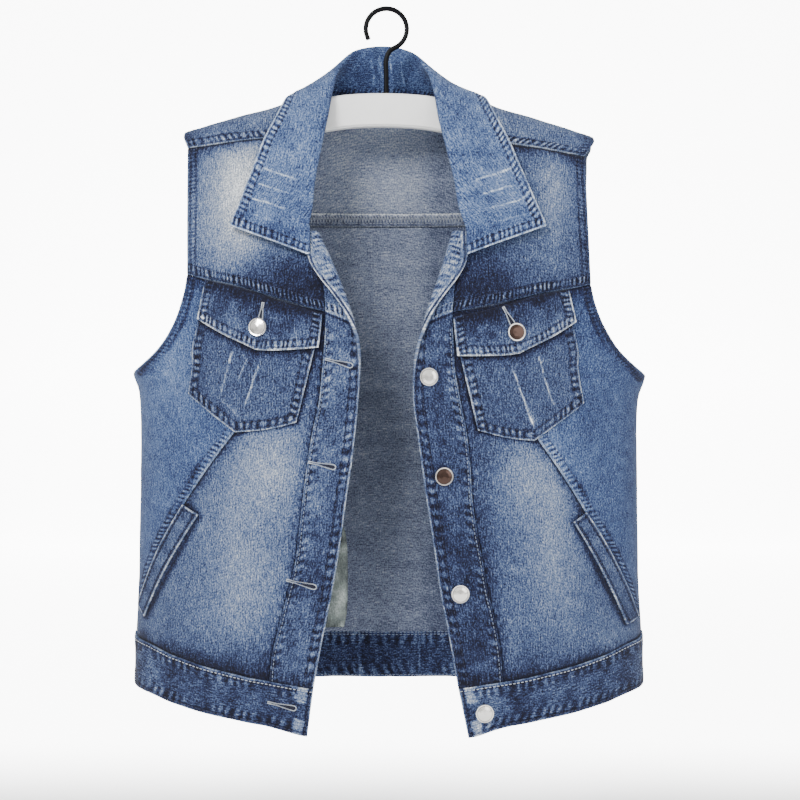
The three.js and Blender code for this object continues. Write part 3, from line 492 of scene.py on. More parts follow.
def finish_edge(cloth, edge, name, seed, start=0.0, end=1.0, corners=(0.0, 0.0), face=FACE,
                thread="seam"):
    """Adds a seam's relief and tone along one edge, and notes its rows of stitches."""
    style = FINISHES[name]
    d = cloth.distance(edge)
    s = cloth.position(edge)
    inside = window(cloth.share(edge), start, end)
    pair = 0 if edge in ("left", "right") else 1
    note_seam(cloth, face, pair, d, s, style["rope"] * inside, style["band"], style["pitch"], seed)
    tone = cloth.tone[face]
    near = np.exp(-((d / style["reach"]) ** 2)) * inside
    # painted shade along the edge; a positive value paints it lighter instead
    tone += style["shade"] * near * (1 + 0.5 * line_noise(s, 14, seed + 4))
    # worn bright bead at the edge where the value is positive; a painted shadow line along the edge where it
    # is negative
    line_unevenness = 0.8 + 0.4 * line_noise(s, 5, seed + 3)
    tone += style["bead_and_shadow"] * line_unevenness * inside * np.exp(-((d / 1.5) ** 2))
    if face == FACE:
        if style["lift"] > 0:
            cloth.relief += style["lift"] * inside / (1 + np.exp((d - style["band"]) / 0.8))
        else:
            cloth.relief += style["lift"] * inside * np.exp(-((d / 2.4) ** 2))
        wave = np.sin(math.pi * s / style["pitch"] + 2.4 * line_noise(s, 23, seed))
        wave *= 0.7 + 0.5 * line_noise(s, 17, seed + 1)
        hump = np.exp(-(((d - style["band"] * 0.5) / (style["band"] * 0.42)) ** 2))
        cloth.relief += 1.1 * style["rope"] * wave * hump * inside
    for row in style["rows"]:
        groove = inside * np.exp(-(((d - row) / 0.75) ** 2))
        cloth.relief -= (0.2 if face == FACE else 0) * groove
        tone -= 0.3 * groove
        stitch_lines.append((cloth, face, d, pair == 0, row, start, end, corners, thread))


def stitch_path(cloth, face, d, is_upright, row, start, end, corners):
    """Points and directions of a row of stitches at a distance from a line."""
    surface = cloth.surfaces[face]
    normals = cloth.n if face == FACE else -cloth.n
    if not is_upright:
        surface, normals, d = surface.transpose(1, 0, 2), normals.transpose(1, 0, 2), d.T
    points, ups = [], []
    for dist, pts, nrm in zip(d, surface, normals):
        order = np.argsort(dist)
        x = dist[order]
        points.append([np.interp(row, x, pts[order, axis]) for axis in range(3)])
        ups.append([np.interp(row, x, nrm[order, axis]) for axis in range(3)])
    points, ups = np.array(points), unit(np.array(ups))
    length = np.concatenate([[0], np.cumsum(np.linalg.norm(np.diff(points, axis=0), axis=1))])
    low = max(start * length[-1], corners[0])
    high = min(end * length[-1], length[-1] - corners[1])
    return points, ups, length, low, high


def shade_beside(cloth, spots, depth, reach):
    """Paints a contact shadow on the cloth along the outline of what lies on it."""
    corners = form_point(*np.array(spots).T)[:, [0, 2]]
    places = cloth.p[..., [0, 2]]
    away = np.full(places.shape[:2], FAR)
    for a, b in zip(corners, np.roll(corners, -1, axis=0)):
        along = np.clip((places - a) @ (b - a) / np.dot(b - a, b - a), 0, 1)
        away = np.minimum(away, np.linalg.norm(places - a - along[..., None] * (b - a), axis=-1))
    cloth.tone[FACE] -= depth * np.exp(-((away / reach) ** 2))


# Mesh building

def add_object(name, vertices, faces, materials, face_materials=None, attributes=None, uv=None):
    """A mesh object from arrays: vertices in millimetres, faces as rows of four corners."""
    mesh = bpy.data.meshes.new(name)
    count = len(faces)
    mesh.vertices.add(len(vertices))
    mesh.vertices.foreach_set("co", (np.asarray(vertices) * MM).astype(np.float32).ravel())
    mesh.loops.add(count * 4)
    mesh.loops.foreach_set("vertex_index", np.asarray(faces, np.int32).ravel())
    mesh.polygons.add(count)
    mesh.polygons.foreach_set("loop_start", np.arange(0, count * 4, 4, dtype=np.int32))
    for material in materials:
        mesh.materials.append(material)
    if face_materials is not None:
        mesh.polygons.foreach_set("material_index", np.asarray(face_materials, np.int32))
    mesh.update(calc_edges=True)
    mesh.shade_smooth()
    for key, values in (attributes or {}).items():
        is_vector = values.ndim == 2
        attribute = mesh.attributes.new(key, "FLOAT_VECTOR" if is_vector else "FLOAT", "POINT")
        attribute.data.foreach_set("vector" if is_vector else "value", values.astype(np.float32).ravel())
    if uv is not None:
        layer = mesh.uv_layers.new(name="grain")
        layer.data.foreach_set("uv", np.asarray(uv, np.float32)[np.asarray(faces).ravel()].ravel())
    obj = bpy.data.objects.new(name, mesh)
    bpy.context.scene.collection.objects.link(obj)
    return obj


def add_shell(name, cloth, inner, outer, materials):
    """A wall of cloth between two distances from its points."""
    rows, columns = cloth.p.shape[:2]
    cloth.surfaces = [
        cloth.p + cloth.n * (outer + cloth.relief)[..., None],
        cloth.p + cloth.n * (inner + 0.6 * cloth.relief)[..., None],
    ]
    index = np.arange(rows * columns).reshape(rows, columns)
    a, b = index[:-1, :-1], index[:-1, 1:]
    c, d = index[1:, 1:], index[1:, :-1]
    layer = rows * columns
    outside = np.stack([a, d, c, b], axis=-1).reshape(-1, 4)
    inside = np.stack([a, b, c, d], axis=-1).reshape(-1, 4) + layer
    rim = np.concatenate([index[0, :-1], index[:-1, -1], index[-1, :0:-1], index[:0:-1, 0]])
    following = np.roll(rim, -1)
    sides = np.stack([rim, following, following + layer, rim + layer], axis=-1)
    faces = np.concatenate([outside, inside, sides])
    vertices = np.concatenate([surface.reshape(-1, 3) for surface in cloth.surfaces])
    attributes = {
        "tone": np.clip(cloth.tone, 0, 1.15).ravel(),
        "seam_sides": cloth.seams[:, 0].reshape(-1, 3),
        "seam_ends": cloth.seams[:, 1].reshape(-1, 3),
    }
    kinds = np.repeat([0, 1, 0], [len(outside), len(inside), len(sides)])
    p, q, r = vertices[faces[0, :3]]
    if np.dot(np.cross(q - p, r - p), cloth.n[0, 0]) < 0:
        faces = faces[:, ::-1]
    uv = np.concatenate([cloth.grain.reshape(-1, 2)] * 2)
    return add_object(name, vertices, faces, materials, kinds, attributes, uv)


flat_sizes = {}


def declare(obj, cloth):
    """Notes the piece's flat size, and lets it ride the body."""
    width, length, area = cloth.cut()
    flat_sizes[obj.name] = (round(width, 3), round(length, 3), round(area, 4))
    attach(obj, "root")


def add_cloth(node, cloth, inner, outer, tones, materials, held, rests_on, slot="denim"):
    for face in (FACE, INSIDE):
        cloth.tone[face] += tones[face]
    obj = add_shell("cloth_" + node, cloth, inner, outer, materials)
    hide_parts(node)
    declare(obj, cloth)
    return obj


# Materials

def new_material(name):
    material = bpy.data.materials.new(name)
    material.use_nodes = True
    tree = material.node_tree
    return material, tree, tree.nodes["Principled BSDF"]


def add_node(tree, kind, **settings):
    node = tree.nodes.new(kind)
    for key, value in settings.items():
        if key in node.inputs:
            node.inputs[key].default_value = value
        else:
            setattr(node, key, value)
    return node


def math_node(tree, operation, *values):
    node = add_node(tree, "ShaderNodeMath", operation=operation)
    for socket, value in zip(node.inputs, values):
        if isinstance(value, (int, float)):
            socket.default_value = value
        else:
            tree.links.new(value, socket)
    return node.outputs[0]


def weighted_sum(tree, *terms):
    """The sum of values times their weights."""
    total = 0.0
    for value, weight in terms:
        total = math_node(tree, "MULTIPLY_ADD", value, weight, total)
    return total


def soft_step(tree, value, low, high):
    node = add_node(tree, "ShaderNodeMapRange", interpolation_type="SMOOTHSTEP")
    node.inputs["From Min"].default_value = low
    node.inputs["From Max"].default_value = high
    tree.links.new(value, node.inputs["Value"])
    return node.outputs["Result"]


def flat_noise(tree, x, y, detail=0.0):
    """Noise from -0.5 to 0.5 over two values."""
    vector = add_node(tree, "ShaderNodeCombineXYZ")
    tree.links.new(x, vector.inputs["X"])
    tree.links.new(y, vector.inputs["Y"])
    noise = add_node(tree, "ShaderNodeTexNoise", noise_dimensions="2D", Scale=1.0, Detail=detail)
    tree.links.new(vector.outputs[0], noise.inputs["Vector"])
    return math_node(tree, "SUBTRACT", noise.outputs["Fac"], 0.5)


def stretched_noise(tree, source, size, turn=0.0, detail=2.0, roughness=0.5):
    """Noise over the cloth, with its size across and along the threads in millimetres."""
    mapping = add_node(tree, "ShaderNodeMapping")
    mapping.inputs["Rotation"].default_value = (0, 0, math.radians(turn))
    tree.links.new(source, mapping.inputs["Vector"])
    scaled = add_node(tree, "ShaderNodeVectorMath", operation="MULTIPLY")
    scaled.inputs[1].default_value = (1 / size[0], 1 / size[1], 1)
    tree.links.new(mapping.outputs[0], scaled.inputs[0])
    noise = add_node(tree, "ShaderNodeTexNoise", noise_dimensions="2D", Scale=1.0, Detail=detail,
                     Roughness=roughness)
    tree.links.new(scaled.outputs[0], noise.inputs["Vector"])
    return math_node(tree, "SUBTRACT", noise.outputs["Fac"], 0.5)


def puckers(tree, name):
    """Ridges across a seam, uneven in place and strength, from one pair's seam values."""
    source = add_node(tree, "ShaderNodeAttribute", attribute_name=name).outputs["Vector"]
    parts = add_node(tree, "ShaderNodeSeparateXYZ")
    tree.links.new(source, parts.inputs[0])
    count, away, strength = parts.outputs
    over = lambda value, factor: math_node(tree, "MULTIPLY", value, factor)
    wander = flat_noise(tree, over(count, 0.45), over(away, 0.03))
    phase = weighted_sum(tree, (count, 1.0), (wander, 1.0), (away, 0.025))
    wave = math_node(tree, "SINE", over(phase, 2 * math.pi))
    rough = flat_noise(tree, over(count, 2.1), over(away, 0.4), 2.0)
    ridge = weighted_sum(tree, (wave, 0.85), (rough, 1.7))
    ridge = math_node(tree, "MAXIMUM", math_node(tree, "MINIMUM", ridge, 1.0), -1.0)
    uneven = flat_noise(tree, over(count, 0.21), over(away, 0.01))
    uneven = math_node(tree, "MULTIPLY_ADD", uneven, 2.0, 1.0)
    mask = over(soft_step(tree, away, 1.0, 2.5), soft_step(tree, away, 11.8, 8.8))
    return over(over(ridge, over(mask, strength)), uneven)


def linear(colour):
    """Linear values of a colour given as 0-255 display values."""
    values = [c / 255 for c in colour]
    return tuple(c / 12.92 if c <= 0.04045 else ((c + 0.055) / 1.055) ** 2.4 for c in values) + (1.0,)


def ramp_node(tree, source, stops):
    ramp = add_node(tree, "ShaderNodeValToRGB")
    elements = ramp.color_ramp.elements
    for k, (position, colour) in enumerate(stops):
        element = elements[k] if k < 2 else elements.new(position)
        element.position = position
        element.color = linear(colour)
    tree.links.new(source, ramp.inputs["Fac"])
    return ramp.outputs["Color"]


def denim(name, stops, slub, slub_tone, grain_tone, blotch):
    """Washed cloth: its tone with slubs along the threads, speckle, blotches and seam puckers."""
    material, tree, shader = new_material(name)
    grain = add_node(tree, "ShaderNodeUVMap", uv_map="grain").outputs[0]
    tone = add_node(tree, "ShaderNodeAttribute", attribute_name="tone").outputs["Fac"]
    clouds = stretched_noise(tree, grain, (11, 15), detail=3, roughness=0.6)
    slubs = stretched_noise(tree, grain, slub, detail=2, roughness=0.6)
    speckle = stretched_noise(tree, grain, (1.25, 1.6), detail=1, roughness=0.6)
    ridges = math_node(tree, "ADD", puckers(tree, "seam_sides"), puckers(tree, "seam_ends"))
    total = weighted_sum(
        tree, (clouds, blotch), (slubs, slub_tone), (speckle, grain_tone), (ridges, 1.0), (tone, 1.0),
    )
    tree.links.new(ramp_node(tree, total, stops), shader.inputs["Base Color"])
    shader.inputs["Roughness"].default_value = 0.9
    shader.inputs["Sheen Weight"].default_value = 0.06
    shader.inputs["Sheen Roughness"].default_value = 0.6
    shader.inputs["Specular IOR Level"].default_value = 0.2
    height = weighted_sum(tree, (slubs, 0.5), (speckle, 0.5), (clouds, 0.4), (ridges, 1.3))
    bump_node = add_node(tree, "ShaderNodeBump", Strength=0.8, Distance=0.0007)
    tree.links.new(height, bump_node.inputs["Height"])
    tree.links.new(bump_node.outputs[0], shader.inputs["Normal"])
    return material


DENIM_STOPS = [
    (0.0, (8, 9, 26)), (1.0, (236, 240, 244)), (0.2, (28, 35, 66)), (0.4, (66, 82, 116)),
    (0.6, (113, 127, 152)), (0.8, (169, 174, 181)),
]
BLUE_STOPS = [
    (0.0, (8, 10, 30)), (1.0, (228, 236, 246)), (0.2, (28, 36, 72)), (0.4, (64, 84, 124)),
    (0.6, (108, 128, 163)), (0.8, (160, 173, 193)),
]
INSIDE_STOPS = [
    (0.0, (12, 14, 30)), (1.0, (214, 218, 226)), (0.2, (42, 47, 70)), (0.4, (80, 88, 109)),
    (0.6, (119, 128, 149)), (0.8, (164, 171, 182)),
]
COTTON_STOPS = [(0.0, (34, 38, 40)), (1.0, (194, 202, 198)), (0.5, (114, 123, 121))]

denim_face = denim("denim_face", DENIM_STOPS, (1.1, 8), 0.6, 0.78, 0.17)
denim_blue = denim("denim_blue", BLUE_STOPS, (1.1, 8), 0.6, 0.78, 0.17)
denim_inside = denim("denim_inside", INSIDE_STOPS, (7, 1.0), 0.56, 0.6, 0.1)
pocket_cotton = denim("pocket_cotton", COTTON_STOPS, (1.2, 5), 0.3, 0.4, 0.5)


def plain_material(name, colour, roughness, metallic=0.0, mottle=0.1, size=0.002, bump=0.1):
    """A surface of one colour with fine mottling and a little relief."""
    material, tree, shader = new_material(name)
    place = add_node(tree, "ShaderNodeTexCoord").outputs["Object"]
    noise = add_node(tree, "ShaderNodeTexNoise", Scale=1 / size, Detail=4.0, Roughness=0.6)
    tree.links.new(place, noise.inputs["Vector"])
    base = linear(colour)
    ramp = add_node(tree, "ShaderNodeValToRGB")
    ends = ((0.35, 1 - mottle), (0.65, 1 + mottle))
    for element, (position, factor) in zip(ramp.color_ramp.elements, ends):
        element.position = position
        element.color = tuple(min(1.0, c * factor) for c in base[:3]) + (1.0,)
    tree.links.new(noise.outputs["Fac"], ramp.inputs["Fac"])
    tree.links.new(ramp.outputs["Color"], shader.inputs["Base Color"])
    shader.inputs["Roughness"].default_value = roughness
    shader.inputs["Metallic"].default_value = metallic
    bump_node = add_node(tree, "ShaderNodeBump", Strength=bump, Distance=0.0003)
    tree.links.new(noise.outputs["Fac"], bump_node.inputs["Height"])
    tree.links.new(bump_node.outputs[0], shader.inputs["Normal"])
    return material


thread_dark = plain_material("thread_dark", (38, 46, 76), 0.7, mottle=0.5, size=0.004, bump=0.3)
thread_grey = plain_material("thread_grey", (118, 130, 152), 0.7, mottle=0.4, size=0.004, bump=0.3)
thread_pale = plain_material("thread_pale", (184, 190, 198), 0.7, mottle=0.2, size=0.002, bump=0.3)
thread_inside = plain_material("thread_inside", (220, 224, 228), 0.75, mottle=0.3, size=0.003, bump=0.3)
thread_grey_inside = plain_material("thread_grey_inside", (150, 156, 168), 0.75, mottle=0.4, size=0.003)
# painted shade for the buttonhole slits
slot_dark = plain_material("slot_dark", (20, 22, 38), 0.9, mottle=0.3)

def rimmed_metal(name, face, rim, groove):
    """Button metal: a plain face, a fine groove round it coloured dark as painted shade, and a bright rim;
    with a dark face the colours paint a dark reflection.
    """
    material, tree, shader = new_material(name)
    parts = add_node(tree, "ShaderNodeSeparateXYZ")
    tree.links.new(add_node(tree, "ShaderNodeTexCoord").outputs["Generated"], parts.inputs[0])
    across = math_node(tree, "MULTIPLY_ADD", parts.outputs["X"], 2.0, -1.0)
    upward = math_node(tree, "MULTIPLY_ADD", parts.outputs["Z"], 2.0, -1.0)
    squares = [math_node(tree, "MULTIPLY", value, value) for value in (across, upward)]
    radius = math_node(tree, "SQRT", math_node(tree, "ADD", *squares))
    place = add_node(tree, "ShaderNodeTexCoord").outputs["Object"]
    noise = add_node(tree, "ShaderNodeTexNoise", Scale=400.0, Detail=4.0, Roughness=0.6)
    tree.links.new(place, noise.inputs["Vector"])
    ragged = weighted_sum(tree, (math_node(tree, "SUBTRACT", noise.outputs["Fac"], 0.5), 0.06), (radius, 1.0))
    # the groove's dark stop is painted shade in the recess
    stops = [(0.0, face), (1.0, rim), (0.72, face), (0.79, groove), (0.85, rim)]
    tree.links.new(ramp_node(tree, ragged, stops), shader.inputs["Base Color"])
    shader.inputs["Roughness"].default_value = 0.14
    shader.inputs["Metallic"].default_value = 1.0
    bump_node = add_node(tree, "ShaderNodeBump", Strength=0.06, Distance=0.0003)
    tree.links.new(noise.outputs["Fac"], bump_node.inputs["Height"])
    tree.links.new(bump_node.outputs[0], shader.inputs["Normal"])
    return material


button_metal = rimmed_metal("button_metal", (250, 248, 243), (252, 250, 246), (150, 144, 138))
# the same button metal with a dark face and bright rim: a painted dark reflection
button_dark = rimmed_metal("button_dark", (80, 64, 58), (226, 220, 214), (50, 42, 40))
board_white = plain_material("board_white", (252, 252, 250), 0.42, mottle=0.02, size=0.01, bump=0.06)
hook_black = plain_material("hook_black", (2, 2, 5), 0.45, mottle=0.3, size=0.003, bump=0.12)
hook_black.node_tree.nodes["Principled BSDF"].inputs["Specular IOR Level"].default_value = 0.12
THREADS = {"seam": thread_dark, "grey": thread_grey, "pale": thread_pale}

FACES = [denim_face, denim_inside]
BLUE_FACES = [denim_blue, denim_inside]
WALL = (-PANEL_WALL / 2, PANEL_WALL / 2)
DOUBLE = (-BAND_WALL / 2, BAND_WALL / 2)


# Fades (positive tone) and painted shadows (negative tone) over the whole vest: x, z, half width, half
# height, tone
FRONT_FADES_AND_SHADOWS = [
    (-130, -512, 33, 78, 0.18),
    (144, -492, 33, 84, 0.18),
    (-104, -424, 32, 38, 0.21),
    (124, -428, 30, 36, 0.15),
    (-134, -176, 26, 56, 0.46),
    (-150, -222, 22, 34, 0.06),
    (150, -176, 18, 44, 0.2),
    (-176, -210, 12, 60, 0.08),
    (-88, -260, 50, 26, -0.3),
    (84, -262, 36, 28, -0.26),
    (-120, -606, 90, 24, -0.19),
    (120, -604, 90, 26, -0.1),
    (102, -596, 20, 22, 0.12),
    (84, -470, 18, 90, -0.06),
    (-196, -330, 20, 50, 0.14),
    (200, -590, 40, 30, 0.1),
    (-60, -270, 20, 12, -0.1),
]
BACK_FADES_AND_SHADOWS = [
    (0, -420, 120, 130, 0.18),
    (-110, -300, 60, 90, 0.12),
    (112, -310, 60, 90, 0.09),
    (0, -150, 130, 40, 0.16),
    (0, -575, 220, 24, -0.12),
]


def spots_of_tone(cloth, rows):
    """Sum of soft spots of tone, placed on the whole vest."""
    x = cloth.p[..., 0] - VEST_SHIFT
    z = cloth.p[..., 2]
    total = np.zeros_like(x)
    for fx, fz, width, height, tone in rows:
        total += tone * np.exp(-(((x - fx) / width) ** 2) - ((z - fz) / height) ** 2)
    return total


def wash_and_shade(cloth, rows=()):
    """Fades and painted shadows from the given spots, blotches and the soft unevenness of washed cloth."""
    x, z = cloth.p[..., 0], cloth.p[..., 2]
    cloth.tone[FACE] += spots_of_tone(cloth, rows)
    cloth.tone[FACE] += 0.03 * field_noise(x, z * 0.4, 15, 3) + 0.02 * field_noise(x, z, 7, 4)
    cloth.relief += 0.5 * field_noise(x * 1.4, z * 0.7, 34, 5) + 0.16 * field_noise(x, z, 12, 6)


def scratches(cloth, rows, seed):
    """Light worn lines: share across and down of both ends, width and tone."""
    u = cloth.share("top")
    v = cloth.share("left")
    for k, (u0, v0, u1, v1, width, tone) in enumerate(rows):
        du, dv = u1 - u0, v1 - v0
        along = ((u - u0) * du + (v - v0) * dv) / (du * du + dv * dv)
        wobble = 0.6 * line_noise(along, 0.18, seed + k)
        off_u = (u - u0 - du * along) * cloth.across[:, -1:].mean()
        off_v = (v - v0 - dv * along) * cloth.down[-1:, :].mean()
        if abs(dv) > abs(du):
            off_u = off_u + wobble
        else:
            off_v = off_v + wobble
        away = np.sqrt(off_u**2 + off_v**2)
        ends = np.clip(along * 8, 0, 1) * np.clip((1 - along) * 8, 0, 1)
        broken = np.clip(0.8 + 0.5 * line_noise(along, 0.09, seed + k + 40), 0, 1.3)
        line = np.exp(-((away / width) ** 2)) * ends * broken
        cloth.tone[FACE] += tone * line
        cloth.relief += 0.2 * line


# Back

BACK_COLUMNS = 24


def back_yoke_seam():
    edge = math.asin(BACK_YOKE_SEAM[0] / 240)
    spots = []
    for i in range(BACK_COLUMNS + 1):
        angle = edge * (2 * i / BACK_COLUMNS - 1)
        out = abs(math.sin(angle)) * 240
        rise = (out / BACK_YOKE_SEAM[0]) ** 2
        z = BACK_YOKE_SEAM_CENTRE + (BACK_YOKE_SEAM[1] - BACK_YOKE_SEAM_CENTRE) * rise
        spots.append(spot(1 if angle >= 0 else -1, (out, z), True))
    return spots


def hem_back(count=BACK_COLUMNS):
    spots = []
    for angle in np.linspace(-math.pi / 2, math.pi / 2, count + 1):
        x = math.sin(angle) * float(smooth(HALF_WIDTH, 460))
        z = HEM_SIDE - HEM_BACK_DROP * math.cos(angle)
        below = float(shoulder_height(x)) - z
        spots.append((angle, RIDGE_QUARTER + below - RIDGE_RADIUS))
    return spots


def back_side(sign):
    armhole = [spot(sign, point, True) for point in [BACK_YOKE_SEAM] + BACK_ARMHOLE]
    low = [armhole[-1], side_spot(sign, SIDE_TOP, True)]
    side = [side_spot(sign, SIDE_TOP, True), side_spot(sign, HEM_SIDE, True)]
    return Edge((armhole, 1, True), (low, 1, False), (side, 7, False))


def inside_tone(cloth, upper, lower, start, end):
    """Tone of the inner face, changing from top to bottom."""
    z = cloth.p[..., 2]
    part = np.clip((z - start) / (end - start), 0, 1)
    x = cloth.p[..., 0] - VEST_SHIFT
    tone = upper + (lower - upper) * part - 0.1 * np.clip((np.abs(x) - 40) / 60, 0, 1)
    tone -= 0.12 * np.clip((x - 26) / 20, 0, 1)
    return tone + 0.05 * field_noise(x * 0.5, z * 1.5, 12, 9)


ARMHOLE_SHARE = 0.36

back_panel = net(
    Edge((back_yoke_seam(), 1, True)),
    Edge((hem_back(), 1, True)),
    back_side(-1),
    back_side(1),
    2.6,
)
wash_and_shade(back_panel, BACK_FADES_AND_SHADOWS)
for side_edge, seed in (("left", 11), ("right", 12)):
    finish_edge(back_panel, side_edge, "armhole", seed, 0.0, ARMHOLE_SHARE)
    finish_edge(back_panel, side_edge, "plain", seed + 50, ARMHOLE_SHARE, 1.0)
finish_edge(back_panel, "top", "under", 13)
finish_edge(back_panel, "bottom", "under", 14)
add_cloth(
    "back_panel", back_panel, *WALL, (0.36, inside_tone(back_panel, 0.55, 0.49, -230, -520)),
    FACES, "hung", ["cloth_back_yoke"],
)

tops = []
yoke_sides = []
for side_name in ("left", "right"):
    side = SIDES[side_name]
    sign = side["sign"]
    seam = [spot(sign, side["shoulder_outer"]), spot(sign, side["shoulder_inner"])]
    neck = [seam[1]] + [spot_along(sign, out, place) for out, place in NECK_EDGE]
    neck.append(spot_along(1, *NECK_CENTRE))
    tops.append((seam, neck))
    over = [spot_along(sign, 188 if place > 20 else 191, place) for place in BACK_YOKE_EDGE]
    line = [seam[0]] + over[::-1] + [spot(sign, BACK_YOKE_SEAM, True)]
    yoke_sides.append(Edge((line, 1, True)))
(left_seam, left_neck), (right_seam, right_neck) = tops
back_yoke = net(
    Edge(
        (left_seam, 4, False), (left_neck, 1, True),
        (right_neck[::-1], 1, True), (right_seam[::-1], 4, False),
    ),
    Edge((back_yoke_seam(), 1, True)),
    yoke_sides[0],
    yoke_sides[1],
    2.0,
)
wash_and_shade(back_yoke, BACK_FADES_AND_SHADOWS)
finish_edge(back_yoke, "bottom", "lap", 21)
finish_edge(back_yoke, "left", "armhole", 22)
finish_edge(back_yoke, "right", "armhole", 23)
finish_edge(back_yoke, "top", "shoulder", 24, 0.0, 0.22)
finish_edge(back_yoke, "top", "shoulder", 25, 0.78, 1.0)
finish_edge(back_yoke, "top", "plain", 26, 0.22, 0.78)
add_cloth(
    "back_yoke", back_yoke, *WALL, (0.4, inside_tone(back_yoke, 0.61, 0.63, -80, -200)),
    FACES, "hung", ["hanger_board"],
)


# Front

def band_seam_spots(name):
    side = SIDES[name]
    column = 1 if name == "left" else 3
    spots = [spot(side["sign"], (row[column], row[0])) for row in BAND_ROWS]
    return spots + [spot(side["sign"], side["band_seam"])]


def hem_front(name):
    side = SIDES[name]
    spots = [spot(side["sign"], point) for point in [side["band_seam"]] + HEM_FRONT]
    return spots + [side_spot(side["sign"], HEM_SIDE)]


def band_row(sign, seam, z, edge, turn_degrees, lap, shares):
    """Points and directions of one row: flat on the form, round the turn, then the lap."""
    turn = max(math.radians(turn_degrees), 0.001)
    radius = TURN_LENGTH / turn
    reach = math.sin(min(turn, math.pi / 2)) * radius
    reach += lap * math.cos(turn) if turn_degrees < 90 else 0
    start = spot(sign, (edge + reach, z))
    flat, bend, tail = shares
    f = flat[:, None]
    spots = np.array(seam) * (1 - f) + np.array(start) * f
    points = form_point(spots[:, 0], spots[:, 1])
    normals = form_normal(spots[:, 0], spots[:, 1])
    base, normal = points[-1], normals[-1]
    ahead = form_point(*spot(sign, (edge + reach - TURN_AIM, z))) - base
    inward = unit(ahead - normal * np.dot(ahead, normal))
    angles = np.concatenate([bend * turn, np.full(len(tail), turn)])[:, None]
    beyond = np.concatenate([np.zeros(len(bend)), tail * lap])[:, None]
    heading = inward * np.cos(angles) + normal * np.sin(angles)
    turned = base + inward * radius * np.sin(angles) + normal * radius * (1 - np.cos(angles))
    turned = turned + heading * beyond
    turned_normals = normal * np.cos(angles) - inward * np.sin(angles)
    return np.concatenate([points, turned]), np.concatenate([normals, turned_normals])


BAND_ROW_LENGTH = 26.0
BAND_DARK_BELOW = -470


def button_band(name, step=1.3):
    side = SIDES[name]
    sign = side["sign"]
    seam_column, edge_column = (1, 2) if name == "left" else (3, 4)
    table = np.array(BAND_ROWS, float)
    rows = table[:, [0, seam_column, edge_column, 5, 6, 0]]
    edge_top, seam_end = side["band_edge_top"], side["band_seam"]
    last = (edge_top[1], seam_end[0], edge_top[0], 0, 2, seam_end[1])
    rows = np.vstack([rows, last])
    index = np.arange(len(rows))
    at = np.arange(0, len(rows) - 1 + 1e-6, step / BAND_ROW_LENGTH)
    z, seam, edge, turn, lap, seam_z = (smooth(list(zip(index, rows[:, k])), at) for k in range(6))
    shares = (np.linspace(0, 1, 22), np.linspace(0, 1, 9)[1:], np.linspace(0, 1, 10)[1:])
    points, normals, grain = [], [], []
    for k in range(len(z)):
        start = spot(sign, (seam[k], seam_z[k]))
        p, n = band_row(sign, start, z[k], edge[k], np.clip(turn[k], 0, 180), max(lap[k], 1.5), shares)
        length = np.concatenate([[0], np.cumsum(np.linalg.norm(np.diff(p, axis=0), axis=1))])
        points.append(p)
        normals.append(n)
        grain.append(np.stack([length, np.full(len(length), z[k])], axis=1))
    return Cloth(np.array(points), np.array(normals), np.array(grain))


def cross_seam(band, name, seed):
    """The yoke seam goes on across the button band to the opening edge."""
    side = SIDES[name]
    row = BAND_ROWS[ROWS_ABOVE_YOKE_SEAM]
    out = np.abs(band.p[..., 0] - VEST_SHIFT)
    seam_out = row[1] if name == "left" else row[3]
    line = row[0] - 0.42 * (seam_out - out)
    d = band.p[..., 2] - line
    flat = band.across < band.across[:, -1:] - 9
    style = FINISHES["lap"]
    note_seam(band, FACE, 1, np.where(flat, d, FAR), band.across, 0.26, style["band"], style["pitch"], seed)
    over = flat / (1 + np.exp((np.abs(d - 5.5) - 6) / 0.6))
    # worn lighter over the doubled cloth and along the seam's edge, with a painted shadow line just below
    # that edge
    band.tone[FACE] += 0.12 * over - 0.3 * flat * np.exp(-(((d + 1.2) / 1.3) ** 2))
    band.tone[FACE] += 0.26 * flat * np.exp(-(((d - 0.8) / 0.8) ** 2))
    band.relief += 0.4 * over
    for stitch_row in style["rows"]:
        stitch_lines.append((band, FACE, d, False, stitch_row, 0.03, 0.62, (0, 0), "grey"))


FACING_SHIFT = -4.5
BAND_TONES = {"left": 0.34, "right": 0.26}
SIDE_TONES = {"left": 0.345, "right": 0.31}
PANEL_TONES = {"left": 0.36, "right": 0.33}
YOKE_TONES = {"left": 0.4, "right": 0.34}


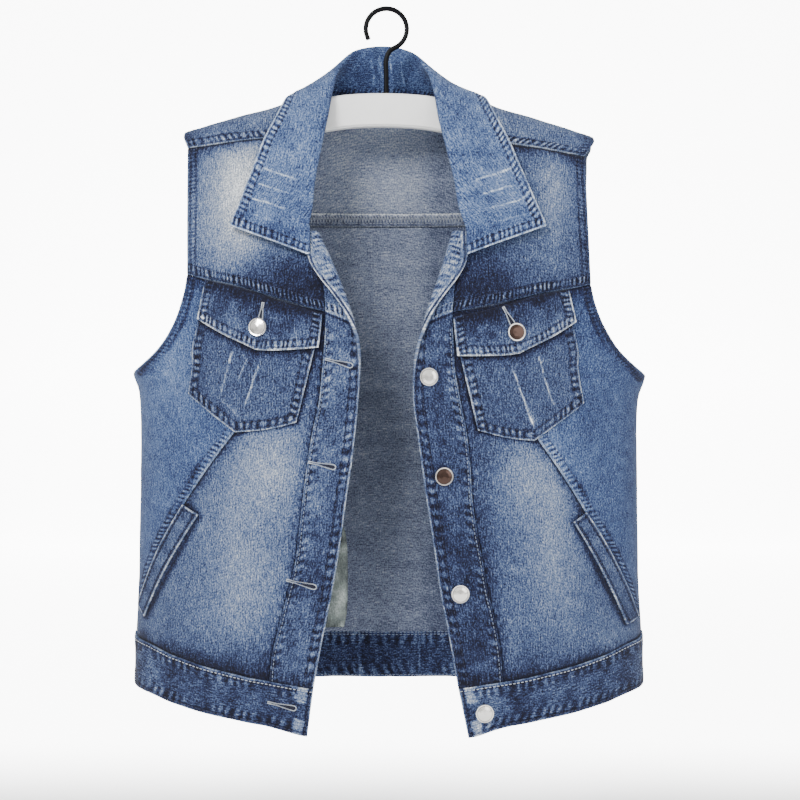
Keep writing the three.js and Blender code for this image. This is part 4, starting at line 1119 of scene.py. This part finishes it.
def build_front(name, seed):
    side = SIDES[name]
    sign = side["sign"]
    at = lambda point: spot(sign, point)
    seam = band_seam_spots(name)
    outer, middle, inner = at(side["yoke_outer"]), at(side["yoke_middle"]), seam[ROWS_ABOVE_YOKE_SEAM]
    shoulder = [at(side["shoulder_outer"]), at(side["shoulder_inner"])]
    neck = [shoulder[1]] + [at(point) for point in NECK_FRONT] + [seam[0]]

    yoke = net(
        Edge((shoulder, 4, False), (neck, [1, 2, 2], False)),
        Edge(([outer, middle, inner], [4, 5], True)),
        Edge(([shoulder[0], outer], ROWS_ABOVE_YOKE_SEAM, False)),
        Edge((seam[: ROWS_ABOVE_YOKE_SEAM + 1], 1, True)),
        1.5,
    )
    wash_and_shade(yoke, FRONT_FADES_AND_SHADOWS)
    finish_edge(yoke, "bottom", "lap", seed + 1)
    finish_edge(yoke, "left", "armhole", seed + 2)
    finish_edge(yoke, "top", "under", seed + 3, 0.0, 0.5)
    finish_edge(yoke, "right", "under", seed + 4)
    add_cloth(
        "front_yoke_" + name, yoke, *WALL, (YOKE_TONES[name], 0.5), FACES, "hung", ["cloth_back_yoke"],
    )

    welt_top = at(side["welt"][0])
    welt_end = at((side["welt"][3][0] - 1.5, side["welt"][3][1] + 8))
    side_end = side_spot(sign, side["welt"][3][1] - 3)
    slant = [middle, at(side["pocket_tip"]), welt_top, welt_end]
    armhole = [at(point) for point in [side["yoke_outer"]] + side["armhole"]]
    top_of_side = side_spot(sign, SIDE_TOP)
    laid_on = [
        [at(point) for point in side["pocket_top"] + side["pocket_bottom"][::-1]],
        [at(point) for point in side["flap_top"] + side["flap_bottom"][::-1]],
        [at(point) for point in side["welt"]],
    ]
    side_panel = net(
        Edge(([outer, middle], 4, True)),
        Edge(([side_end, welt_end], 4, False)),
        Edge((armhole, 1, True), ([armhole[-1], top_of_side], 1, False), ([top_of_side, side_end], 5, False)),
        Edge((slant, [5, 3, 3], False)),
        1.8,
    )
    wash_and_shade(side_panel, FRONT_FADES_AND_SHADOWS)
    finish_edge(side_panel, "left", "armhole", seed + 5, 0.0, 0.34)
    finish_edge(side_panel, "left", "plain", seed + 6, 0.34, 1.0)
    finish_edge(side_panel, "top", "under", seed + 7)
    finish_edge(side_panel, "right", "slant", seed + 8, 0.37, 1.0)
    shade_beside(side_panel, laid_on[2], 0.3, 2.6)
    add_cloth(
        "side_panel_" + name, side_panel, *WALL, (SIDE_TONES[name], 0.42),
        BLUE_FACES, "hung", ["cloth_front_yoke_" + name],
    )

    hem = hem_front(name)
    panel = net(
        Edge(([middle, inner], 5, True)),
        Edge((hem[::-1], 1, True)),
        Edge((slant, [5, 3, 3], False), ([welt_end, side_end, hem[-1]], 1, False)),
        Edge((seam[ROWS_ABOVE_YOKE_SEAM:], 1, True)),
        1.8,
    )
    wash_and_shade(panel, FRONT_FADES_AND_SHADOWS)
    finish_edge(panel, "top", "under", seed + 9)
    finish_edge(panel, "right", "beside", seed + 10)
    finish_edge(panel, "bottom", "under", seed + 11)
    finish_edge(panel, "left", "under", seed + 12, 0.28, 0.9)
    # painted shade on the panel beside the button band, strongest at the top
    beside = panel.distance("right")
    panel.tone[FACE] -= 0.14 * np.exp(-((beside / 9) ** 2)) * np.clip(1.2 - 4 * panel.share("right"), 0, 1)
    for outline in laid_on:
        shade_beside(panel, outline, 0.34, 2.8)
    add_cloth(
        "front_panel_" + name, panel, *WALL, (PANEL_TONES[name], 0.4),
        FACES, "hung", ["cloth_front_yoke_" + name],
    )

    band = button_band(name)
    x, z = band.p[..., 0], band.p[..., 2]
    band.tone[FACE] += 0.08 * field_noise(x, z * 0.7, 12, seed + 13) + 0.06 * field_noise(x, z, 5, seed + 14)
    band.relief += 0.12 * field_noise(x, z, 10, seed + 15)
    lower = 1 / (1 + np.exp((z - BAND_DARK_BELOW) / 6))
    band.tone[FACE] -= 0.08 * lower + 0.2 * lower * np.exp(-((band.across / 2.0) ** 2))
    finish_edge(band, "left", "band", seed + 17, 0.22, 1.0, thread="grey")
    finish_edge(band, "bottom", "under", seed + 18)
    cross_seam(band, name, seed + 20)
    finish_edge(band, "right", "opening", seed + 16, 0.2, 1.0)
    finish_edge(band, "right", "facing", seed + 19, 0.0, 0.24, face=INSIDE)
    band.seams[INSIDE, 0, ..., 1] += FACING_SHIFT
    facing = 0.46 + 0.14 * field_noise(band.down, band.across, 5, seed + 21)
    facing -= 0.34 * np.exp(-(((band.distance("right") - 2.4) / 0.8) ** 2))
    facing += 0.3 * np.exp(-(((band.distance("right") - 4.4) / 0.9) ** 2))
    add_cloth(
        "placket_" + name, band, *DOUBLE, (BAND_TONES[name], facing),
        [denim_face, denim_face], "hung", ["cloth_front_yoke_" + name],
    )
    build_pockets(name, seed + 30)


# Worn lines on the chest pockets, as shares across and down of both ends, width and tone
POCKET_SCRATCHES = {
    "left": [
        (0.36, 0.34, 0.3, 0.8, 0.75, 0.5),
        (0.49, 0.36, 0.45, 0.6, 0.75, 0.4),
        (0.6, 0.38, 0.53, 0.8, 0.75, 0.5),
        (0.3, 0.82, 0.52, 0.86, 1.6, 0.2),
    ],
    "right": [
        (0.6, 0.36, 0.5, 0.92, 0.75, 0.55),
        (0.36, 0.34, 0.34, 0.52, 0.75, 0.45),
        (0.34, 0.52, 0.28, 0.84, 0.75, 0.45),
        (0.52, 0.7, 0.5, 0.88, 1.6, 0.24),
    ],
}


def build_pockets(name, seed):
    side = SIDES[name]
    spots = lambda points: [spot(side["sign"], point) for point in points]
    inner = PANEL_WALL / 2 + LAYER_GAP
    top, bottom = spots(side["pocket_top"]), spots(side["pocket_bottom"])
    pocket = net(
        Edge((top, 9, False)),
        Edge((bottom, [4, 5], False)),
        Edge(([top[0], bottom[0]], 5, False)),
        Edge(([top[1], bottom[2]], 5, False)),
        0.9,
    )
    wash_and_shade(pocket)
    finish_edge(pocket, "left", "pocket", seed + 1, corners=(0, 2.4))
    finish_edge(pocket, "right", "pocket", seed + 2, corners=(0, 2.4))
    finish_edge(pocket, "bottom", "pocket", seed + 3, corners=(2.4, 2.4))
    scratches(pocket, POCKET_SCRATCHES[name], seed + 4)
    shade_beside(pocket, spots(side["flap_top"] + side["flap_bottom"][::-1]), 0.3, 5.5)
    add_cloth(
        "chest_pocket_" + name, pocket, inner, inner + POCKET_WALL, (0.3, 0.4),
        FACES, "laid", ["cloth_front_panel_" + name],
    )

    flap_inner = inner + POCKET_WALL + LAYER_GAP
    top, bottom = spots(side["flap_top"]), spots(side["flap_bottom"])
    flap = net(
        Edge((top, 5, True)),
        Edge((bottom, 5, False)),
        Edge(([top[0], bottom[0]], 3, False)),
        Edge(([top[2], bottom[2]], 3, False)),
        1.1,
    )
    wash_and_shade(flap)
    # painted shade: the flap darker at its top, fading out towards its bottom edge
    flap.tone[FACE] += 0.2 * flap.share("left") - 0.2
    flap.tone[FACE] += 0.1 * field_noise(flap.across, flap.down, 8, seed + 12)
    finish_edge(flap, "left", "flap", seed + 5, corners=(0, 2.4))
    finish_edge(flap, "right", "flap", seed + 6, corners=(0, 2.4))
    finish_edge(flap, "bottom", "flap", seed + 7, corners=(2.4, 2.4))
    finish_edge(flap, "top", "under", seed + 8)
    add_cloth(
        "pocket_flap_" + name, flap, flap_inner, flap_inner + FLAP_WALL, (0.36, 0.35),
        FACES, "laid", ["cloth_chest_pocket_" + name],
    )

    upper, near, lower, outer = spots(side["welt"])
    welt = net(
        Edge(([upper, near], 2, False)),
        Edge(([outer, lower], 2, False)),
        Edge(([upper, outer], 7, False)),
        Edge(([near, lower], 7, False)),
        1.1,
    )
    wash_and_shade(welt)
    welt.tone[FACE] += 0.1 * field_noise(welt.down, welt.across * 0.3, 9, seed + 13)
    finish_edge(welt, "left", "trim", seed + 9)
    finish_edge(welt, "right", "trim", seed + 10)
    finish_edge(welt, "top", "trim", seed + 11)
    finish_edge(welt, "bottom", "trim", seed + 14)
    for edge in ("left", "right"):
        welt.tone[FACE] -= 0.34 * np.exp(-(((welt.distance(edge) - 2.6) / 1.0) ** 2))
    add_cloth(
        "welt_" + name, welt, inner, inner + WELT_WALL, (0.32, 0.4),
        FACES, "laid", ["cloth_front_panel_" + name],
    )


build_front("left", 100)
build_front("right", 200)


# Hem band

def hem_band(step=1.5):
    parts = []
    heights = np.linspace(0, 1, int(BAND_HEIGHT / step) + 1)[:, None]
    for name in ("left", "right"):
        side = SIDES[name]
        line = [spot(side["sign"], side["band_edge_top"])] + hem_front(name)
        edge = Edge((line, [2] + [1] * (len(line) - 2), True))
        s = spread(edge, edge, step)
        spots = edge.at(s)
        low = spot(side["sign"], side["band_edge_bottom"])
        slide = (low[0] - line[0][0]) * np.exp(-((s / 1.6) ** 2))
        flare = np.clip((np.abs(spots[:, 0]) - FLARE_START) / (FLARE_END - FLARE_START), 0, 1)
        drop = (BAND_HEIGHT + BAND_FLARE * flare)[None, :]
        parts.append((spots[None, :, 0] + heights * slide[None, :], spots[None, :, 1] - drop * heights))
    back = Edge((hem_back(), 1, True))
    spots = back.at(spread(back, back, step))[1:-1]
    middle = (spots[None, :, 0] + 0 * heights, spots[None, :, 1] + (BAND_HEIGHT + BAND_FLARE) * heights)
    parts = [parts[0], middle, (parts[1][0][:, ::-1], parts[1][1][:, ::-1])]
    points = np.concatenate([form_point(*part) for part in parts], axis=1)
    normals = np.concatenate([form_normal(*part) for part in parts], axis=1)
    length = np.pad(np.cumsum(np.linalg.norm(np.diff(points[0], axis=0), axis=1)), (1, 0))
    grain = np.stack(np.broadcast_arrays(BAND_HEIGHT * heights, length[None, :]), axis=-1)
    return Cloth(points, normals, grain)


band = hem_band()
band.tone[FACE] += 0.1 * line_noise(band.across, 22, 41) + 0.1 * field_noise(band.across, band.down, 8, 42)
band.relief += 0.16 * field_noise(band.across, band.down, 12, 43)
finish_edge(band, "top", "hem", 44, thread="pale")
finish_edge(band, "bottom", "hem", 45)
band.tone[FACE] -= 0.2 * np.exp(-(((band.distance("bottom") - 2.4) / 0.9) ** 2))
finish_edge(band, "top", "inner_hem", 48, face=INSIDE)
finish_edge(band, "bottom", "inner_hem", 49, face=INSIDE)
for row in (0.9, 3.2):
    stitch_lines.append((band, INSIDE, band.distance("top"), False, row, 0.0, 1.0, (0, 0), "grey"))
stitch_lines.append((band, INSIDE, band.distance("bottom"), False, 2.0, 0.0, 1.0, (0, 0), "grey"))
for edge, seed in (("left", 46), ("right", 47)):
    d = band.distance(edge)
    finish_edge(band, edge, "trim", seed)
    patch = np.exp(-(((d - 9) / 5) ** 4)) * (np.abs(2 * band.share("left") - 1) > 0.35)
    band.seams[FACE, 1, ..., 2] *= 1 - 0.8 * patch
    band.tone[FACE] += 0.42 * patch - 0.55 * np.exp(-(((d - 2.8) / 1.0) ** 2))
BACK_BAND_SEAMS = (-27, 32)
for x in BACK_BAND_SEAMS:
    behind = (band.p[..., 1] > 0) * np.exp(-(((band.p[..., 0] - x) / 0.9) ** 2))
    band.tone[INSIDE] += 0.22 * behind
add_cloth(
    "hem_band", band, *DOUBLE, (0.25, 0.15 + 0.08 * field_noise(band.across, band.down * 0.5, 5, 50)),
    [denim_face, denim_face], "hung",
    ["cloth_back_panel", "cloth_front_panel_left", "cloth_front_panel_right"],
)


# Pocket bag

def pocket_bag(rows=70, columns=90):
    v = np.linspace(0, 1, rows)[:, None]
    u = np.linspace(0, 1, columns)[None, :]
    corner = BAG_CORNER * np.abs(2 * v - 1) ** 4
    out = BAG_INNER_EDGE + corner * (1 - u) ** 2 + (BAG_OUTER_EDGE - BAG_INNER_EDGE - corner) * u
    z = BAG_TOP + (BAG_BOTTOM - BAG_TOP) * v + 0 * u
    below = shoulder_height(-out) - z
    place = -(RIDGE_QUARTER + below - RIDGE_RADIUS)
    angle = -np.arcsin(out / smooth(HALF_WIDTH, below))
    normals = form_normal(angle, place)
    inside = BAND_WALL / 2 + LAYER_GAP + BAG_WALL / 2 + BAG_HANG * (1 - u) ** 2
    points = form_point(angle, place) - normals * inside[..., None]
    return Cloth(points, normals, np.stack([out, z], axis=-1))


bag = pocket_bag()
bag.relief += 0.7 * field_noise(bag.across * 2, bag.down * 0.5, 26, 51)
creases = field_noise(bag.across * 0.7 + bag.down * 0.4, bag.down - bag.across * 0.5, 9, 54)
bag.relief += 0.4 * creases
# painted light and shade over the creases on both faces: lighter on their ridges, darker in their hollows
bag.tone += 0.3 * creases
finish_edge(bag, "left", "plain", 52)
finish_edge(bag, "bottom", "plain", 53)
add_cloth(
    "pocket_bag_left", bag, -BAG_WALL / 2, BAG_WALL / 2, (0.4, 0.4),
    [pocket_cotton, pocket_cotton], "hung", ["cloth_front_panel_left"], slot="pocket_cotton",
)


# Collar

def curve_points(points, shares):
    """Points along a smooth curve through rows of points, spaced as its knots are."""
    points = np.asarray(points, float)
    first = 2 * points[0] - points[1]
    last = 2 * points[-1] - points[-2]
    padded = np.concatenate([first[None], points, last[None]])
    gaps = np.linalg.norm(np.diff(padded, axis=0), axis=-1) ** 0.5
    gaps = np.maximum(gaps, 1e-4)
    s = np.clip(np.asarray(shares) * (len(points) - 1), 0, len(points) - 1 - 1e-9)
    k = np.floor(s).astype(int)
    f = (s - k)[:, None]
    p0, p1, p2, p3 = (padded[k + j] for j in range(4))
    d0, d1, d2 = (gaps[k + j][:, None] for j in range(3))
    t1 = ((p1 - p0) / d0 - (p2 - p0) / (d0 + d1) + (p2 - p1) / d1) * d1
    t2 = ((p2 - p1) / d1 - (p3 - p1) / (d1 + d2) + (p3 - p2) / d2) * d1
    return p1 + t1 * f + (3 * (p2 - p1) - 2 * t1 - t2) * f**2 + (t1 + t2 - 2 * (p2 - p1)) * f**3


def collar_profile(row, sign):
    (out, place, lift), roll, edge, fold, skew, rise, bulge = row
    angle, place = spot_along(sign, out, place)
    normal = form_normal(np.array(angle), np.array(place))
    seam = form_point(angle, place) + normal * lift
    roll = np.array([sign * roll[0] - skew + VEST_SHIFT, roll[1], roll[2] - sign * rise])
    edge = np.array([sign * edge[0] - skew / 2 + VEST_SHIFT, edge[1], edge[2] - sign * rise / 6])
    start = seam + unit(roll - seam) * COLLAR_SEAM_STEP
    fall = edge - roll
    away = unit(normal - fall * np.dot(normal, fall) / np.dot(fall, fall))
    gap = ROLL_HALF_GAP * fold
    stand = lambda f, by: start + (roll - start) * f - away * by
    leaf = lambda f, by: roll + (edge - roll) * f + away * by
    return np.array([
        start,
        stand(0.45, gap * 0.9),
        stand(0.85, gap),
        stand(1, 0),
        leaf(0.05, gap),
        leaf(0.25, gap + bulge),
        leaf(0.6, gap * 0.6 + bulge),
        leaf(1, 0),
    ])


LEAF_SHARE = 0.15


def collar(leaf_stations=120, back_stations=160, steps=76):
    left = [collar_profile(row, -1) for row in COLLAR_ROWS]
    right = [collar_profile(row, 1) for row in COLLAR_ROWS[:-1]][::-1]
    profiles = np.array(left + right)
    leaf = np.linspace(0, LEAF_SHARE, leaf_stations + 1)
    back = np.linspace(LEAF_SHARE, 1 - LEAF_SHARE, back_stations + 1)[1:-1]
    shares = np.concatenate([leaf, back, 1 - leaf[::-1]])
    knots = range(profiles.shape[1])
    lines = np.stack([curve_points(profiles[:, k], shares) for k in knots], axis=1)
    places = np.concatenate([np.linspace(0, 0.6, 26)[:-1], np.linspace(0.6, 1, steps - 25)])
    surface = np.array([curve_points(line, places) for line in lines])
    normals = unit(np.cross(np.gradient(surface, axis=0), np.gradient(surface, axis=1)))
    length = np.pad(np.cumsum(np.linalg.norm(np.diff(surface[:, -1], axis=0), axis=1)), (1, 0))
    across = np.pad(np.cumsum(np.linalg.norm(np.diff(surface, axis=1), axis=2), axis=1), ((0, 0), (1, 0)))
    grain = np.stack([across, np.broadcast_to(length[:, None], surface.shape[:2])], axis=-1)
    return Cloth(surface, normals, grain)


# Worn creases on the collar: share along its length, share across it at both ends, width and tone
COLLAR_CREASES = [
    (0.03, 0.42, 0.84, 0.8, 0.22),
    (0.056, 0.38, 0.9, 0.85, 0.4),
    (0.084, 0.38, 0.88, 0.85, 0.36),
    (0.112, 0.4, 0.9, 0.85, 0.38),
]

neck_collar = collar()
stand_part = 1 / (1 + np.exp((neck_collar.share("top") - 0.36) / 0.02))
cx, cz = neck_collar.p[..., 0], neck_collar.p[..., 2]
# painted shade on the collar's stand inside the back of the neck
neck_collar.tone[FACE] -= 0.24 * stand_part * np.clip((cz + 150) / 60, 0, 1) * 0.6
neck_collar.tone[FACE] += 0.07 * field_noise(cx, cz, 18, 61) + 0.06 * field_noise(cx, cz, 6, 62)
neck_collar.tone[FACE] -= 0.1 * np.clip((-cz - 190) / 40, 0, 1)
neck_collar.relief += 0.35 * field_noise(cx, cz, 26, 63)
finish_edge(neck_collar, "right", "collar", 64, corners=(2.4, 2.4))
finish_edge(neck_collar, "top", "collar", 65, corners=(0, 2.4))
finish_edge(neck_collar, "bottom", "collar", 66, corners=(0, 2.4))
finish_edge(neck_collar, "left", "neck", 67, 0.2, 0.8)
creases = []
for along, start, end, width, tone in COLLAR_CREASES:
    creases.append((start, along + 0.006, end, along, width, tone))
    creases.append((start, 1 - along - 0.006, end, 1 - along, width, tone))
for along in (0.474, 0.49, 0.51, 0.532):
    creases.append((0.06, along, 0.3, along, 0.8, 0.3))
scratches(neck_collar, creases, 70)
add_cloth(
    "collar", neck_collar, -COLLAR_WALL / 2, COLLAR_WALL / 2, (0.43, 0.4),
    [denim_blue, denim_blue], "folded",
    ["cloth_back_yoke", "cloth_front_yoke_left", "cloth_front_yoke_right"],
)


# Stitches

def capsules(points, normals, length, low, high, pitch=3.7, part=0.74, radius=0.38, seed=1):
    """Stitches laid along a path: rings of four corners, dipping into the cloth at their ends."""
    count = max(1, int((high - low) / pitch))
    starts = low + (np.arange(count) + 0.1) * (high - low) / count
    rng = np.random.default_rng(seed)
    shares = np.array([0, 0.22, 0.78, 1.0])
    sizes = np.array([0.45, 1, 1, 0.45]) * radius
    rises = np.array([-0.28, 0.16, 0.16, -0.28])
    corners = np.array([[1, 0], [0, 1], [-1, 0], [0, -1]])
    at = lambda s, values: np.stack([np.interp(s, length, values[:, axis]) for axis in range(3)], axis=-1)
    where = starts[:, None] + shares[None, :] * pitch * part
    centre = at(where, points)
    up = unit(at(where, normals))
    ahead = unit(centre[:, -1:] - centre[:, :1])
    beside = unit(np.cross(up, ahead + 0 * up))
    lean = rng.uniform(-0.12, 0.12, (count, 1, 1)) * np.linspace(-1, 1, 4)[None, :, None]
    centre = centre + up * rises[None, :, None] + beside * lean
    ring = (
        centre[:, :, None]
        + beside[:, :, None] * (corners[:, 0] * sizes[:, None])[None, :, :, None]
        + up[:, :, None] * (corners[:, 1] * sizes[:, None])[None, :, :, None]
    )
    quads = []
    for k in range(3):
        for c in range(4):
            d = (c + 1) % 4
            quads.append([k * 4 + c, k * 4 + d, (k + 1) * 4 + d, (k + 1) * 4 + c])
    quads += [[3, 2, 1, 0], [12, 13, 14, 15]]
    faces = (np.array(quads)[None] + 16 * np.arange(count)[:, None, None]).reshape(-1, 4)
    return ring.reshape(-1, 3), faces


def one_stitch(path, up, radius, seed):
    """A single stitch between two points."""
    size = np.linalg.norm(path[1] - path[0])
    return capsules(path, up, np.array([0, size]), 0, size, pitch=size, part=0.95, radius=radius, seed=seed)


def join(parts):
    """One list of vertices and faces from several."""
    starts = np.cumsum([0] + [len(vertices) for vertices, _ in parts[:-1]])
    faces = [faces + start for (_, faces), start in zip(parts, starts)]
    return np.concatenate([vertices for vertices, _ in parts]), np.concatenate(faces)


def add_threads(name, parts, material):
    obj = add_object(name, *join(parts), [material])
    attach(obj, "root")
    return obj


rows_of_thread = {key: [] for key in THREADS}
for number, (cloth, face, d, is_upright, row, start, end, corners, thread) in enumerate(stitch_lines):
    path = stitch_path(cloth, face, d, is_upright, row, start, end, corners)
    rows_of_thread[thread].append(capsules(*path, seed=number))
for key, parts in rows_of_thread.items():
    add_threads(key + "_stitches", parts, THREADS[key])


# Buttonholes: side, far end and eye as distance from the centre and height, and lift
BUTTONHOLES = [
    ("left", (55.3, -329.4), (32.0, -335.5), BAND_WALL / 2),
    ("left", (70.5, -420.5), (47.0, -425.2), BAND_WALL / 2),
    ("left", (90.2, -525.1), (64.0, -531.4), BAND_WALL / 2),
    ("left", (106.9, -634.1), (82.0, -639.0), BAND_WALL / 2),
    ("left", (110.6, -279.5), (113.4, -297.5), 4.85),
    ("right", (101.0, -283.5), (110.0, -299.5), 4.85),
]
HOLE_STITCHES = 84
HOLE_STITCH_LENGTH = 1.15


def buttonhole(side_name, first, second, lift, seed):
    """Threads round a keyhole whose far end runs out to a point, and a dark sheet inside it as the painted
    shade of the slit.
    """
    sign = SIDES[side_name]["sign"]
    turn = np.linspace(0, 2 * math.pi, HOLE_STITCHES, endpoint=False)
    ends = np.array([first, second], float)
    axis = ends[1] - ends[0]
    length = np.linalg.norm(axis)
    axis = axis / length
    beside = np.array([-axis[1], axis[0]])
    share = 0.5 + 0.5 * np.cos(turn)
    width = 0.12 + 1.4 * np.clip((share - 0.32) / 0.55, 0, 1) ** 0.9
    across = np.sign(np.sin(turn)) * width * np.clip(np.abs(np.sin(turn)) * 2.2, 0, 1)
    flat = ends[0] + axis * (share * length)[:, None] + beside * across[:, None]
    round_eye = axis * (12 * np.clip(share - 0.9, 0, 1))[:, None]
    away = unit(beside * np.sign(across)[:, None] + round_eye)
    place = lambda points: np.array([spot(sign, point) for point in points])
    inner, outer = place(flat), place(flat + away * HOLE_STITCH_LENGTH)
    parts = []
    for k, (a, b) in enumerate(zip(inner, outer)):
        angle, along = np.stack([a, b], axis=1)
        up = form_normal(angle, along)
        path = form_point(angle, along) + up * (lift + 0.3)
        parts.append(one_stitch(path, up, 0.3, seed + k))
    # a dark sheet in the slit, just above the cloth: painted shade
    slit = place(ends[0] + axis * (share * length)[:, None] + beside * (across * 0.9)[:, None])
    centre = form_point(slit[:, 0], slit[:, 1]) + form_normal(slit[:, 0], slit[:, 1]) * (lift + 0.14)
    k = np.arange(HOLE_STITCHES // 2 - 1)
    last = (HOLE_STITCHES - k) % HOLE_STITCHES
    return join(parts), (centre, np.stack([k, k + 1, HOLE_STITCHES - k - 1, last], axis=1))


hole_threads, slits = [], []
for number, (side_name, first, second, lift) in enumerate(BUTTONHOLES):
    threads, slit = buttonhole(side_name, first, second, lift, 500 + 100 * number)
    hole_threads.append(threads)
    slits.append(slit)
add_threads("buttonhole_stitches", hole_threads, thread_pale)
add_threads("buttonhole_slits", slits, slot_dark)


# Overlocked edge of the yoke seam, inside the back
OVERLOCK_TOP = -184.0
OVERLOCK_BOTTOM = -195.6
OVERLOCK_HALF_LENGTH = 176
OVERLOCK_LIFT = 1.6
ZIGZAG_STEP = 2.6


def overlock(columns=240, rows=9):
    """A strip of turned-up cloth inside the back."""
    outs = np.linspace(-OVERLOCK_HALF_LENGTH, OVERLOCK_HALF_LENGTH, columns)[None, :]
    heights = np.linspace(OVERLOCK_TOP, OVERLOCK_BOTTOM, rows)[:, None]
    below = shoulder_height(outs) - heights
    place = RIDGE_QUARTER + below - RIDGE_RADIUS
    angle = np.arcsin(outs / smooth(HALF_WIDTH, below))
    normals = form_normal(angle, place)
    points = form_point(angle, place) - normals * (PANEL_WALL / 2 + OVERLOCK_LIFT)
    cloth = Cloth(points, -normals, np.stack(np.broadcast_arrays(outs, heights), axis=-1))
    cloth.relief = 0.35 * line_noise(cloth.across, 9, 81)
    cloth.tone[FACE] = 0.4 + 0.14 * field_noise(cloth.across, cloth.down, 3, 82)
    ragged = 0.8 + 0.6 * line_noise(cloth.across, 2, 83)
    cloth.tone[FACE] += 0.8 * np.exp(-((cloth.down / 1.6) ** 2)) * ragged
    return cloth


edge_strip = overlock()
strip = add_shell("overlocked_edge", edge_strip, -0.4, 0.4, [denim_inside, denim_inside])
declare(strip, edge_strip)
surface = edge_strip.surfaces[FACE]
zigzag = []
stride = max(1, round(ZIGZAG_STEP / (2 * OVERLOCK_HALF_LENGTH / surface.shape[1])))
for k in range(0, surface.shape[1] - stride, stride):
    for a, b in ((surface[-3, k], surface[0, k]), (surface[0, k], surface[-3, k + stride])):
        up = np.array([edge_strip.n[4, k], edge_strip.n[4, k]])
        zigzag.append(one_stitch(np.array([a, b]), up, 0.36, k))
top_threads = []
for row, radius, kept in ((0, 0.5, top_threads), (3, 0.32, zigzag), (6, 0.32, zigzag), (8, 0.32, zigzag)):
    path = surface[row]
    length = np.concatenate([[0], np.cumsum(np.linalg.norm(np.diff(path, axis=0), axis=1))])
    kept.append(capsules(path, edge_strip.n[row], length, 0, length[-1], 3.4, 0.86, radius, row))
add_threads("overlock_threads", zigzag, thread_grey_inside)
add_threads("overlock_top_threads", top_threads, thread_inside)


# Hard pieces keep their solids and get finishes
for node, material in (("hanger_board", board_white), ("hanger_hook", hook_black)):
    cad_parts[node].data.materials.clear()
    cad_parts[node].data.materials.append(material)
BUTTON_METALS = {
    "button_1": button_metal,
    "button_2": button_dark,
    "button_3": button_metal,
    "button_hem": button_metal,
    "button_pocket_left": button_metal,
    "button_pocket_right": button_dark,
}
for node, material in BUTTON_METALS.items():
    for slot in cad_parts[node].material_slots:
        slot.material = material


# Studio
FLOOR_Z = -0.79
WALL_Y = 3.2
BEND = 0.5
HALF_ROOM = 4.0
BACK_GLOW = 8.0


def backdrop():
    """A pale floor that bends up into a wall, glowing white where it lies behind the vest."""
    profile = [(-HALF_ROOM, FLOOR_Z), (WALL_Y - BEND, FLOOR_Z)]
    for k in range(1, 13):
        angle = math.radians(90 * k / 12)
        profile.append((WALL_Y - BEND + BEND * math.sin(angle), FLOOR_Z + BEND * (1 - math.cos(angle))))
    profile.append((WALL_Y, 2.2))
    vertices = [(x, y, z) for y, z in profile for x in (-HALF_ROOM, HALF_ROOM)]
    faces = [(2 * k, 2 * k + 1, 2 * k + 3, 2 * k + 2) for k in range(len(profile) - 1)]
    material = plain_material("studio_white", (252, 252, 252), 0.9, mottle=0.004, size=0.2, bump=0.0)
    shader = material.node_tree.nodes["Principled BSDF"]
    shader.inputs["Emission Color"].default_value = (1, 1, 1, 1)
    tree = material.node_tree
    parts = add_node(tree, "ShaderNodeSeparateXYZ")
    tree.links.new(add_node(tree, "ShaderNodeTexCoord").outputs["Object"], parts.inputs[0])
    behind = soft_step(tree, parts.outputs["Y"], 0.08, 0.45)
    beside = math_node(tree, "ABSOLUTE", parts.outputs["X"])
    beside = weighted_sum(tree, (beside, 1.0), (parts.outputs["Y"], -0.3))
    between = math_node(tree, "MULTIPLY", soft_step(tree, beside, 0.64, 0.5), behind)
    below = soft_step(tree, parts.outputs["Z"], 1.25, 1.0)
    glow = math_node(tree, "MULTIPLY", math_node(tree, "MULTIPLY", between, below), BACK_GLOW)
    tree.links.new(glow, shader.inputs["Emission Strength"])
    return add_object("backdrop", np.array(vertices) / MM, np.array(faces), [material])


backdrop()


def area_light(name, location, target, size, energy):
    data = bpy.data.lights.new(name, "AREA")
    data.size = size
    data.energy = energy
    obj = bpy.data.objects.new(name, data)
    obj.location = location
    direction = np.array(target, float) - np.array(location, float)
    obj.rotation_euler = (
        math.atan2(math.hypot(direction[0], direction[1]), -direction[2]),
        0,
        math.atan2(direction[0], -direction[1]) + math.pi,
    )
    bpy.context.scene.collection.objects.link(obj)


area_light("key", (-0.8, -1.8, 0.8), (0, 0, -0.35), 0.7, 44)
area_light("fill", (1.3, -1.5, 0.1), (0, 0, -0.35), 1.4, 13)


def studio_world():
    """Soft light, brighter from above and from before the front."""
    world = bpy.data.worlds.new("studio")
    world.use_nodes = True
    tree = world.node_tree
    direction = add_node(tree, "ShaderNodeTexCoord").outputs["Generated"]
    parts = add_node(tree, "ShaderNodeSeparateXYZ")
    tree.links.new(direction, parts.inputs[0])
    above = soft_step(tree, parts.outputs["Z"], 0.02, 0.2)
    front = soft_step(tree, parts.outputs["Y"], -0.84, -0.95)
    level = weighted_sum(tree, (above, 0.45), (front, 0.35))
    level = math_node(tree, "ADD", level, 0.46)
    tree.links.new(level, tree.nodes["Background"].inputs["Strength"])
    tree.nodes["Background"].inputs["Color"].default_value = (1, 1, 1, 1)
    bpy.context.scene.world = world


studio_world()

print("flat sizes", json.dumps(flat_sizes))
